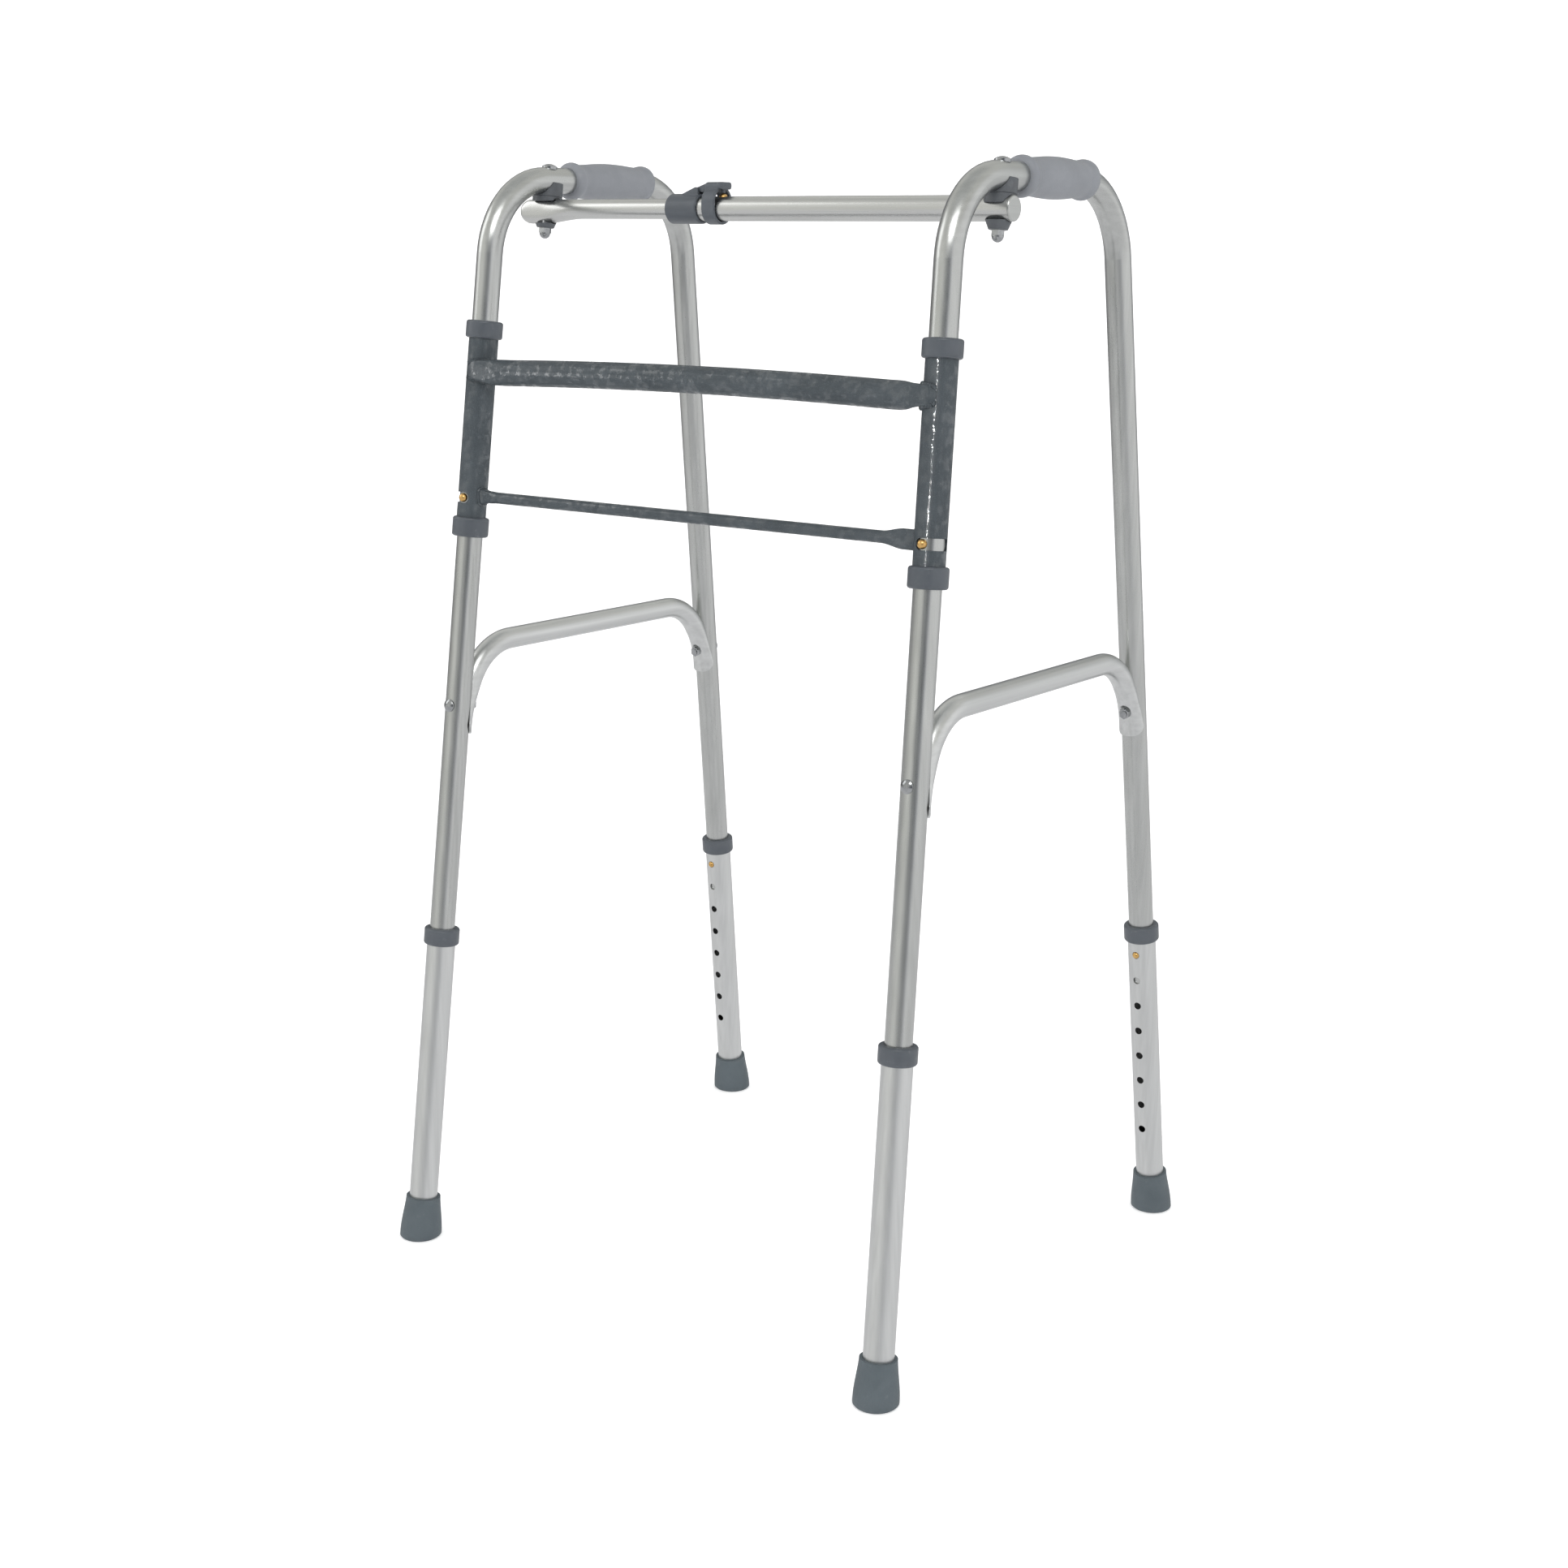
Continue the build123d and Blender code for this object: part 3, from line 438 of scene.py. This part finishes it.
# ---- Handgrips ----------------------------------------------------------------
HANDLE_HEIGHT = 946.0 * MM
FRAME_R = 11.1 * MM
FRAME_BEND = 70.0 * MM
GRIP_START = -39.0 * MM
GRIP_PROFILE = (
    (0.0, 11.3), (0.15, 12.6), (0.7, 14.1), (2.0, 15.5), (3.8, 16.15), (5.6, 16.2),
    (8.0, 15.7), (11.0, 14.8), (14.5, 14.55), (22.0, 14.95), (36.0, 15.95), (52.5, 16.45),
    (69.0, 15.95), (83.0, 14.95), (90.5, 14.55), (94.0, 14.8), (97.0, 15.7), (99.4, 16.2),
    (101.2, 16.15), (103.0, 15.5), (104.3, 14.1), (104.85, 12.6), (105.0, 11.3),
)


def handle_point(along):
    """A point and direction on the right handle tube, straight and then bending."""
    corner = rear_axis(HANDLE_HEIGHT)
    down = (rear_axis(0.0) - corner).normalized()
    reach = FRAME_BEND / tan((Y_AXIS * -1).angle(down) / 2)
    start = corner.y - reach
    if along <= start:
        return Vector((corner.x, along, HANDLE_HEIGHT)), Y_AXIS
    drop = across(down, Y_AXIS)
    turn = (along - start) / FRAME_BEND
    point = Vector((corner.x, start, HANDLE_HEIGHT)) + Y_AXIS * FRAME_BEND * sin(turn)
    return point + drop * FRAME_BEND * (1 - cos(turn)), Y_AXIS * cos(turn) + drop * sin(turn)


def make_grip(side):
    rings = []
    stops = sorted({k[0] for k in GRIP_PROFILE} | {i * 1.5 for i in range(1, 70)})
    for stop in stops:
        point, along = handle_point(GRIP_START + stop * MM)
        out = across(X_AXIS, along)
        rise = along.cross(out)
        radius = spline(GRIP_PROFILE, stop) * MM
        rings.append([point + (out * cos(a) + rise * sin(a)) * radius
                      for a in (tau * i / 64 for i in range(64))])
    piece = lofted(f"{side}_grip_look", mirrored(side, rings))
    dress(piece, "grip_plastic", f"{side}_frame", "grip_plastic", f"{side}_grip")


# ---- Braces: a tube pressed into a hollowed plate at each end --------------------
BRACE_R = 9.525 * MM
BRACE_HEIGHT = 546.5 * MM
BRACE_BEND = 55.0 * MM
BRACE_TIPS = {"front": 467.0 * MM, "rear": 474.0 * MM}
BRACE_OFFSET = 20.6 * MM
BRACE_TIP_OFFSET = 4.6 * MM
BRACE_BOLTS = {"front": 492.5 * MM, "rear": 495.5 * MM}
PLATE_MIDDLE = 12.45 * MM
PLATE_HALF = 1.2 * MM
PLATE_SPREAD = radians(70)
PLATE_START = 50.0 * MM      # from the tip, where the tube starts to flatten
PIT_FLOOR = 14.4 * MM
PIT_R = 5.3 * MM
BRACE_SIDES = 72


def brace_end(leg, z, offset):
    axis = LEG_AXES[leg]
    inward = across(Y_AXIS * (1 if leg == "front" else -1), up_of(axis))
    return axis(z) + inward * offset


def brace_ring(point, along, s, leg):
    """A section of the brace, a distance s from its tip on a leg."""
    axis = LEG_AXES[leg]
    up = up_of(axis)
    foot = axis(0.0) + up * (point - axis(0.0)).dot(up)
    facing = 1 if leg == "front" else -1
    out = across(Y_AXIS * facing, up)
    side = across(X_AXIS, up)
    press = 1 - ease(s, 0.0, PLATE_START)
    across_tube = across(X_AXIS, along)
    to_leg = across_tube.cross(along)
    bolt = axis(BRACE_BOLTS[leg])
    ring = []
    for i in range(BRACE_SIDES):
        turn = tau * i / BRACE_SIDES
        c, k = cos(turn), sin(turn)
        tube = point + (across_tube * c + to_leg * k) * BRACE_R
        spread = PLATE_SPREAD * c
        radius = PLATE_MIDDLE - PLATE_HALF * signed_power(k, 0.45)
        corner = 8.0 * MM * abs(c) ** 4 * (1 - ease(s, 0.0, 14.0 * MM))
        plate = foot + (side * sin(spread) + out * cos(spread)) * radius + up * corner
        p = tube.lerp(plate, press)
        if s < 2 * PLATE_START:
            base = axis(0.0) + up * (p - axis(0.0)).dot(up)
            radial = p - base
            if radial.length < FRAME_R + STAND_OFF:
                radial = radial.normalized() * (FRAME_R + STAND_OFF)
            if k < 0:
                from_bolt = p - bolt
                from_bolt -= out * from_bolt.dot(out)
                limit = PIT_FLOOR + max(0.0, from_bolt.length - PIT_R) * 1.7
                if radial.dot(out) > limit and from_bolt.length < 2 * PIT_R:
                    radial += out * (limit - radial.dot(out))
            p = base + radial
        ring.append(p)
    return ring


def make_brace(side):
    corners = [
        brace_end("front", BRACE_TIPS["front"], BRACE_TIP_OFFSET),
        brace_end("front", BRACE_HEIGHT, BRACE_OFFSET),
        brace_end("rear", BRACE_HEIGHT, BRACE_OFFSET),
        brace_end("rear", BRACE_TIPS["rear"], BRACE_TIP_OFFSET),
    ]
    points = filleted(corners, BRACE_BEND, 1.2 * MM)
    lengths = [0.0]
    for a, b in zip(points, points[1:]):
        lengths.append(lengths[-1] + (b - a).length)
    rings = []
    for point, along, s in zip(points, tangents(points), lengths):
        if s < lengths[-1] / 2:
            rings.append(brace_ring(point, along, s, "front"))
        else:
            rings.append(brace_ring(point, along, lengths[-1] - s, "rear"))
    piece = lofted(f"{side}_brace_look", mirrored(side, rings), zipped=True)
    dress(piece, "aluminium_y", f"{side}_frame", "aluminium", f"{side}_brace")


# ---- Painted front frame ---------------------------------------------------------
SLEEVE_R = 12.7 * MM
UPPER_BAR_R = 11.1 * MM
UPPER_BAR_HEIGHT = 784.0 * MM
UPPER_BAR_ARCH = 3.0 * MM
UPPER_BAR_FORWARD = 6.0 * MM
UPPER_BAR_STATIONS = 40      # from mid span to where the end is pressed flat
PRESS_REACH = 40             # mm inward of the sleeve's axis, where that begins
PRESS_START, PRESS_END = -38.0, -10.0
TONGUE_ROOT_TALL = 10.6 * MM
TONGUE_TIP_TALL = 6.8 * MM
TONGUE_TAPER = 32.0 * MM
TONGUE_NOSE = 3.5 * MM       # length of the rounded tip
TONGUE_FEATHER = 9.0 * MM    # length over which the tip thins out
TONGUE_HALF_THICK = 1.35 * MM
TONGUE_TURN = radians(20)    # how far the tongue passes the sleeve's front
TONGUE_STATIONS = 12
LOWER_BAR_R = 4.9 * MM
LOWER_BAR_HEIGHT = 677.0 * MM
BAR_SIDES = 56
BAR_STEP = 1.5 * MM


def sleeve_frame(z):
    """Origin, outward, rearward and up directions of the right sleeve."""
    up = up_of(front_axis)
    return front_axis(z), across(X_AXIS, up), across(Y_AXIS, up), up


def oval_ring(point, out, rise, half_thick, half_tall, power):
    """A rounded section that goes from round (power 1) to a flat bar (power low)."""
    ring = []
    for i in range(BAR_SIDES):
        turn = tau * i / BAR_SIDES
        ring.append(point + rise * half_tall * signed_power(cos(turn), power)
                    + out * half_thick * signed_power(sin(turn), power))
    return ring


def pressed(x):
    """How flat the crossbar's end is, from 0 to 1, x mm outward of the sleeve's axis."""
    return ease(x, PRESS_START, PRESS_END)


def upper_bar_half():
    """Points, up directions and flatness from mid span to the right tongue's tip."""
    origin, out, back, up = sleeve_frame(UPPER_BAR_HEIGHT)
    stations = []
    mid_y = origin.y - UPPER_BAR_FORWARD
    span = origin.x - PRESS_REACH * MM
    for i in range(UPPER_BAR_STATIONS + 1):
        x = span * i / UPPER_BAR_STATIONS
        z = UPPER_BAR_HEIGHT + UPPER_BAR_ARCH * (1 - (x / span) ** 2)
        stations.append((Vector((x, mid_y, z)), Z_AXIS, 0.0))
    ride_r = (SLEEVE_R + TONGUE_HALF_THICK + STAND_OFF) / MM
    front = (UPPER_BAR_FORWARD + UPPER_BAR_R) / MM
    flat = []
    for x in range(1 - PRESS_REACH, 0):
        flatness = pressed(x)
        half = (UPPER_BAR_R + (TONGUE_HALF_THICK - UPPER_BAR_R) * flatness) / MM
        face = front + (ride_r + TONGUE_HALF_THICK / MM - front) * flatness
        flat.append((x, half - face))
    for i in range(TONGUE_STATIONS + 1):
        turn = TONGUE_TURN * i / TONGUE_STATIONS
        thin = TONGUE_HALF_THICK - tongue_half_thick((TONGUE_TURN - turn) * SLEEVE_R)
        reach = ride_r - thin / MM
        flat.append((reach * sin(turn), -reach * cos(turn)))
    for x, y in flat:
        flatness = pressed(x)
        place = origin + out * x * MM + back * y * MM
        level = place.copy()
        level.z = UPPER_BAR_HEIGHT
        stations.append((level.lerp(place, flatness), up, flatness))
    return stations


def tongue_half_tall(from_tip):
    """Half the tongue's height, a distance from its rounded tip."""
    nose = max(0.0, 1 - from_tip / TONGUE_NOSE)
    share = min(1.0, from_tip / TONGUE_TAPER)
    taper = TONGUE_TIP_TALL + (TONGUE_ROOT_TALL - TONGUE_TIP_TALL) * share
    return taper * (1 - 0.85 * nose**2) ** 0.5


def tongue_half_thick(from_tip):
    """Half the tongue's thickness, which feathers out towards its tip."""
    return TONGUE_HALF_THICK * (0.25 + 0.75 * ease(from_tip, 0.0, TONGUE_FEATHER))


def make_upper_crossbar():
    half = upper_bar_half()
    mirror_half = [(on_side("left", p), on_side("left", u), f) for p, u, f in half[:0:-1]]
    stations = mirror_half + half
    points = [station[0] for station in stations]
    rings = []
    for along, (point, up, flatness) in zip(tangents(points), stations):
        rise = across(up, along)
        out = along.cross(rise)
        end = points[0] if point.x < 0 else points[-1]
        from_tip = (point - end).length
        tall = tongue_half_tall(from_tip)
        thick = UPPER_BAR_R + (tongue_half_thick(from_tip) - UPPER_BAR_R) * flatness
        height = UPPER_BAR_R + (tall - UPPER_BAR_R) * ease(flatness, 0.0, 1.0)
        power = 1.0 - 0.4 * ease(flatness, 0.2, 1.0)
        rings.append(oval_ring(point, out, rise, thick, height, power))
    clear_sleeves(rings, UPPER_BAR_HEIGHT)
    piece = lofted("upper_crossbar_look", rings, zipped=True)
    dress(piece, "dark_paint", "front_frame", "dark_paint", "upper_crossbar")


def clear_sleeves(rings, height):
    """Pushes any point inside a sleeve out to just off its surface."""
    origin, up = front_axis(height), up_of(front_axis)
    skin = SLEEVE_R + 0.05 * MM
    for ring in rings:
        for i, p in enumerate(ring):
            side = "right" if p.x > 0 else "left"
            q = on_side(side, p)
            base = origin + up * (q - origin).dot(up)
            radial = q - base
            if radial.length < skin:
                q = base + radial.normalized() * skin
                ring[i] = on_side(side, q)


def bead(name, side, path, radius):
    """A weld bead: a small rippled cord laid along a path."""
    rings = []
    directions = tangents(path)
    for i, (point, along) in enumerate(zip(path, directions)):
        out = across(X_AXIS if abs(along.x) < 0.8 else Z_AXIS, along)
        rise = along.cross(out)
        swell = radius * (1 + 0.16 * sin(2.1 * i) + 0.06 * sin(0.7 * i + 1.0))
        end = min(i, len(path) - 1 - i)
        swell *= (0.35, 0.75, 0.92)[end] if end < 3 else 1.0
        rings.append([point + (out * cos(a) + rise * sin(a)) * swell
                      for a in (tau * k / 10 for k in range(10))])
    piece = lofted(name, mirrored(side, rings))
    dress(piece, "dark_paint", "front_frame", "dark_paint")


def make_tongue_beads(side):
    """Welds along the tongue's top and bottom edges, from the sleeve's inner side."""
    origin, out, back, up = sleeve_frame(UPPER_BAR_HEIGHT)
    reach = SLEEVE_R + 0.6 * MM
    for name, level in (("top", 1), ("bottom", -1)):
        path = []
        for i in range(50):
            turn = radians(-70 + 88 * i / 49)
            from_tip = (TONGUE_TURN - turn) * SLEEVE_R
            path.append(origin + (out * sin(turn) - back * cos(turn)) * reach
                        + up * level * (tongue_half_tall(from_tip) + 0.2 * MM))
        bead(f"{side}_tongue_bead_{name}", side, path, 1.7 * MM)


def make_lower_crossbar():
    """A thin rod: pressed into a tall tab on the right, a little flared on the left."""
    right = front_axis(LOWER_BAR_HEIGHT)
    reach = right.x - SLEEVE_R * 0.93
    xs = [-reach + BAR_STEP * i for i in range(int(2 * reach / BAR_STEP))] + [reach]
    rings = []
    for x in xs:
        tab = ease(x, right.x - 44 * MM, right.x - 24 * MM)
        patch = ease(-x, right.x - 30 * MM, right.x - 22 * MM)
        thick = LOWER_BAR_R - (LOWER_BAR_R - 2.5 * MM) * tab - 1.1 * MM * patch
        tall = LOWER_BAR_R + (8.0 * MM - LOWER_BAR_R) * tab + 0.3 * MM * patch
        flare = ease(-x, reach - 9 * MM, reach)
        thick += 1.2 * MM * flare
        tall += 1.9 * MM * flare
        point = Vector((x, right.y, LOWER_BAR_HEIGHT))
        rings.append(oval_ring(point, Y_AXIS, Z_AXIS, thick, tall, 1 - 0.45 * max(tab, patch)))
    clear_sleeves(rings, LOWER_BAR_HEIGHT)
    piece = lofted("lower_crossbar_look", rings, zipped=True)
    dress(piece, "dark_paint", "front_frame", "dark_paint", "lower_crossbar")
    for side, thick, tall in (("right", 2.5, 8.0), ("left", 5.0, 7.1)):
        path = []
        for i in range(44):
            turn = tau * i / 44
            y = (thick + 0.5) * MM * signed_power(sin(turn), 0.6)
            z = (tall + 0.4) * MM * signed_power(cos(turn), 0.6)
            centre = front_axis(LOWER_BAR_HEIGHT + z)
            x = centre.x - (SLEEVE_R**2 - (y + right.y - centre.y) ** 2) ** 0.5 - 0.35 * MM
            path.append(Vector((x, right.y + y, LOWER_BAR_HEIGHT + z)))
        bead(f"{side}_lower_bar_bead", side, path + path[:1], 1.1 * MM)


# ---- Top bar ------------------------------------------------------------------
BAR_HEIGHT = 921.5 * MM
INNER_BAR_R = 8.33 * MM
FLAT_HALF_TALL = 10.4 * MM
FLAT_HALF_WIDE = 5.0 * MM
FLAT_DROP = 2.07 * MM        # keeps the bar's top edge level
BAR_END_STEPS = (0.0, 0.25, 0.8, 1.7, 3.0, 4.6, 6.4, 8.4, 10.6, 13.0)


def make_inner_bar():
    """The left bar tube: round, then pressed flat to its rounded end at the pivot."""
    low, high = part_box("inner_bar")
    y = (low.y + high.y) / 2
    end, start = low.x, high.x
    stations = [end + step * MM for step in BAR_END_STEPS]
    x = stations[-1] + BAR_STEP
    while x < start:
        stations.append(x)
        x += BAR_STEP
    stations.append(start)
    rings = []
    for x in stations:
        from_end = (x - end) / MM
        flat = 1 - ease(from_end, 24.0, 72.0)
        nose = max(0.0, 1 - from_end / 11.0)
        tall = (INNER_BAR_R + (FLAT_HALF_TALL - INNER_BAR_R) * flat)
        wide = (INNER_BAR_R + (FLAT_HALF_WIDE - INNER_BAR_R) * flat)
        tall *= (1 - nose**2 * 0.86) ** 0.5
        edge = max(0.0, 1 - from_end / 2.4)
        wide *= (1 - edge**2 * 0.75) ** 0.5
        point = Vector((x, y, BAR_HEIGHT - FLAT_DROP * flat))
        rings.append(oval_ring(point, Y_AXIS, Z_AXIS, wide, tall, 1 - 0.22 * flat))
    piece = lofted("inner_bar_look", rings)
    dress(piece, "aluminium_x", "left_bar", "aluminium", "inner_bar")


# ---- Small moulded and turned parts, with truly rounded edges -------------------
def plain_copy(node):
    """A copy of a CAD node's mesh, as a new piece."""
    piece = bpy.data.objects.new(f"{node}_look", nodes[node].data.copy())
    bpy.context.scene.collection.objects.link(piece)
    piece.matrix_world = nodes[node].matrix_world
    return piece


def rounded_copy(node, material, voxel, passes, trim=None):
    """A copy of a CAD node, remeshed and relaxed so that its edges are rounded.
    trim is a height and way up (1) or down (-1): what lies past it is cut off."""
    piece = plain_copy(node)
    mesh = piece.data
    work = bmesh.new()
    work.from_mesh(mesh)
    bmesh.ops.remove_doubles(work, verts=work.verts, dist=2e-6)
    if trim:
        height, way = trim
        cut = bmesh.ops.bisect_plane(
            work, geom=work.verts[:] + work.edges[:] + work.faces[:], dist=1e-7,
            plane_co=(0, 0, height), plane_no=(0, 0, way), clear_outer=True)
        rim = [e for e in cut["geom_cut"] if isinstance(e, bmesh.types.BMEdge)]
        bmesh.ops.holes_fill(work, edges=rim, sides=0)
        bmesh.ops.recalc_face_normals(work, faces=work.faces)
    work.to_mesh(mesh)
    work.free()
    remesh = piece.modifiers.new("remesh", "REMESH")
    remesh.mode = "VOXEL"
    remesh.voxel_size = voxel
    relax = piece.modifiers.new("relax", "SMOOTH")
    relax.factor = 0.5
    relax.iterations = passes
    depsgraph = bpy.context.evaluated_depsgraph_get()
    made = bpy.data.meshes.new_from_object(piece.evaluated_get(depsgraph))
    piece.modifiers.clear()
    piece.data = made
    made.polygons.foreach_set("use_smooth", [True] * len(made.polygons))
    body = next(b for b, members in frame["record"]["behaviour"]["bodies"].items()
                if node in members)
    dress(piece, material, body, slot_of[node], node)
    return piece


for side in ("right", "left"):
    make_grip(side)
    make_brace(side)
    make_tongue_beads(side)
make_upper_crossbar()
make_lower_crossbar()
make_inner_bar()
for node, body in (("bar_button", "bar_button"), ("bar_button_spring", "left_bar")):
    piece = plain_copy(node)
    dress(piece, slot_of[node], body, slot_of[node], node)
    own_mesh(piece)
rounded_copy("bar_clasp", "slate_plastic", 0.32 * MM, 5)
rounded_copy("clasp_lever", "slate_plastic", 0.32 * MM, 10)
for side, saddle_end, cup_end in (("right", 926.0, 913.5), ("left", 928.5, 910.0)):
    rounded_copy(f"{side}_handle_saddle", "grey_plastic", 0.4 * MM, 5)
    rounded_copy(f"{side}_bar_saddle", "grey_plastic", 0.4 * MM, 4, (saddle_end * MM, -1))
    rounded_copy(f"{side}_bar_cup", "grey_plastic", 0.4 * MM, 4, (cup_end * MM, 1))


# ---- Floor, light and camera -------------------------------------------------
def plain(name, color, rough, glow):
    """A faintly clouded matt surface that also glows a little, for the backdrop."""
    s = Shader(name)
    grain = s.noise(3.0, 2.0, 0.5)
    tone = s.mix(s.span(grain, 0.3, 0.7), rgb(*color), rgb(*(c * 0.99 for c in color)))
    s.put(s.bsdf.inputs["Emission Color"], tone)
    s.put(s.bsdf.inputs["Emission Strength"], glow)
    return s.set(color=tone, rough=rough, specular=0.2)


STUDIO_R = 5.0
COVE_R = 1.6
WALL_TOP = 4.5


def make_studio():
    """A pale round floor that curves up into a wall. Metal doesn't mirror it: it
    mirrors the world's soft boxes instead."""
    profile = [(r, 0.0) for r in (0.4, 1.0, 1.8, 2.6, STUDIO_R - COVE_R)]
    for i in range(1, 17):
        turn = radians(90 * i / 16)
        profile.append((STUDIO_R - COVE_R + COVE_R * sin(turn), COVE_R * (1 - cos(turn))))
    profile.append((STUDIO_R, WALL_TOP))
    rings = [[Vector((r * cos(a), r * sin(a), z)) for a in (tau * k / 96 for k in range(96))]
             for r, z in profile]
    studio = lofted("studio", rings)
    top = max(v.co.z for v in studio.data.vertices)
    work = bmesh.new()
    work.from_mesh(studio.data)
    lid = [f for f in work.faces if all(v.co.z > top - 0.01 for v in f.verts)]
    bmesh.ops.delete(work, geom=lid, context="FACES")
    work.to_mesh(studio.data)
    work.free()
    studio.data.materials.append(plain("studio", (0.93, 0.93, 0.935), 0.7, 0.28))
    studio.visible_glossy = False


def area_light(name, place, target, size, power, mirrored=True, only=None):
    """A soft box. With only, it is just mirrored in those pieces, and lights nothing."""
    light = bpy.data.lights.new(name, "AREA")
    light.shape = "RECTANGLE"
    light.size, light.size_y = size
    light.energy = power
    lamp = bpy.data.objects.new(name, light)
    bpy.context.scene.collection.objects.link(lamp)
    lamp.location = place
    lamp.visible_glossy = mirrored
    lamp.rotation_mode = "QUATERNION"
    lamp.rotation_quaternion = (Vector(target) - Vector(place)).to_track_quat("-Z", "Y")
    if only:
        lamp.visible_diffuse = False
        lit = bpy.data.collections.new(f"{name}_lit")
        for piece in only:
            lit.objects.link(piece)
        lamp.light_linking.receiver_collection = lit


def painted(*parts):
    """Pieces in the dark paint with any of these parts in their names."""
    return [piece for piece in bpy.data.objects
            if piece.type == "MESH" and materials["dark_paint"] in piece.data.materials[:]
            and any(part in piece.name for part in parts)]


# Soft boxes and dark flags round the horizon: turn in degrees from +X, and colour.
HORIZON = (
    (0, (1.50, 1.50, 1.52)), (28, (1.52, 1.52, 1.52)), (62, (0.80, 0.81, 0.81)),
    (95, (0.26, 0.27, 0.28)), (126, (0.15, 0.16, 0.17)), (158, (0.20, 0.20, 0.21)),
    (190, (0.38, 0.38, 0.37)), (222, (0.72, 0.72, 0.69)), (250, (0.98, 0.98, 0.93)),
    (272, (0.74, 0.74, 0.72)), (290, (0.34, 0.35, 0.35)), (303, (0.15, 0.16, 0.17)),
    (315, (0.15, 0.16, 0.18)), (328, (0.52, 0.53, 0.56)), (342, (1.38, 1.38, 1.42)),
    (360, (1.50, 1.50, 1.52)),
)
# Bands above and below it: the height they start and end at, and colour.
BANDS = (
    (0.30, 0.60, (0.72, 0.72, 0.69)),
    (0.72, 0.95, (0.56, 0.57, 0.56)),
    (-0.06, -0.30, (0.80, 0.80, 0.81)),
)


def make_world():
    world = bpy.data.worlds.new("studio")
    bpy.context.scene.world = world
    world.use_nodes = True
    tree = world.node_tree
    background = tree.nodes["Background"]

    def node(kind, **settings):
        made = tree.nodes.new(kind)
        for key, value in settings.items():
            setattr(made, key, value)
        return made

    split = node("ShaderNodeSeparateXYZ")
    tree.links.new(node("ShaderNodeTexCoord").outputs["Generated"], split.inputs[0])
    turn = node("ShaderNodeMath", operation="ARCTAN2")
    tree.links.new(split.outputs[1], turn.inputs[0])
    tree.links.new(split.outputs[0], turn.inputs[1])
    share = node("ShaderNodeMath", operation="MULTIPLY_ADD")
    share.inputs[1].default_value = 1 / tau
    share.inputs[2].default_value = 1.0
    tree.links.new(turn.outputs[0], share.inputs[0])
    wrap = node("ShaderNodeMath", operation="FRACT")
    tree.links.new(share.outputs[0], wrap.inputs[0])
    ramp = node("ShaderNodeValToRGB")
    ramp.color_ramp.interpolation = "B_SPLINE"
    stops = ramp.color_ramp.elements
    while len(stops) > 1:
        stops.remove(stops[-1])
    for k, (degrees_round, colour) in enumerate(HORIZON):
        stop = stops[0] if k == 0 else stops.new(degrees_round / 360)
        stop.position = degrees_round / 360
        stop.color = rgb(*colour)
    tree.links.new(wrap.outputs[0], ramp.inputs[0])
    colour = ramp.outputs[0]
    for start, end, band in BANDS:
        rise = node("ShaderNodeMapRange", interpolation_type="SMOOTHSTEP")
        rise.inputs["From Min"].default_value = start
        rise.inputs["From Max"].default_value = end
        tree.links.new(split.outputs[2], rise.inputs["Value"])
        mixed = node("ShaderNodeMix", data_type="RGBA")
        mixed.inputs[7].default_value = rgb(*band)
        tree.links.new(rise.outputs[0], mixed.inputs[0])
        tree.links.new(colour, mixed.inputs[6])
        colour = mixed.outputs[2]
    tree.links.new(colour, background.inputs[0])
    background.inputs[1].default_value = 1.0


CAMERA_PLACE = (1.1361, -1.5675, 0.8929)
CAMERA_YAW = radians(-36.29)
CAMERA_PITCH = radians(-13.66)
CAMERA_ROLL = radians(0.56)
CAMERA_LENS = 50.93


def make_camera():
    forward = Vector((sin(CAMERA_YAW) * cos(CAMERA_PITCH),
                      cos(CAMERA_YAW) * cos(CAMERA_PITCH), sin(CAMERA_PITCH)))
    right = Vector((cos(CAMERA_YAW), -sin(CAMERA_YAW), 0.0))
    up = right.cross(forward)
    x = right * cos(CAMERA_ROLL) + up * sin(CAMERA_ROLL)
    y = up * cos(CAMERA_ROLL) - right * sin(CAMERA_ROLL)
    data = bpy.data.cameras.new("camera")
    data.lens = CAMERA_LENS
    data.sensor_width = 36.0
    data.clip_start, data.clip_end = 0.05, 50.0
    camera = bpy.data.objects.new("camera", data)
    bpy.context.scene.collection.objects.link(camera)
    camera.matrix_world = Matrix((
        (x.x, y.x, -forward.x, CAMERA_PLACE[0]),
        (x.y, y.y, -forward.y, CAMERA_PLACE[1]),
        (x.z, y.z, -forward.z, CAMERA_PLACE[2]),
        (0, 0, 0, 1),
    ))
    bpy.context.scene.camera = camera


make_studio()
make_world()
area_light("key", (1.9, -2.5, 3.4), (0, 0, 0.4), (2.2, 1.3), 46.0)
area_light("fill", (-2.8, -1.6, 2.2), (0, 0, 0.4), (1.6, 2.2), 16.0)
area_light("back", (0.2, 3.0, 2.8), (0, 0, 0.5), (2.6, 1.2), 16.0, mirrored=False)
area_light("sparkle", (0.454, -2.23, 0.65), (0.1, -0.2, 0.7), (0.03, 1.5), 60.0,
           only=painted("right_", "lower_crossbar"))
area_light("bar_end_gloss", (-1.87, -1.85, 0.72), (-0.25, -0.2, 0.78), (0.42, 0.9), 6.0,
           only=painted("upper_crossbar_look", "left_tongue"))
bpy.context.scene.view_settings.view_transform = "Standard"
make_camera()
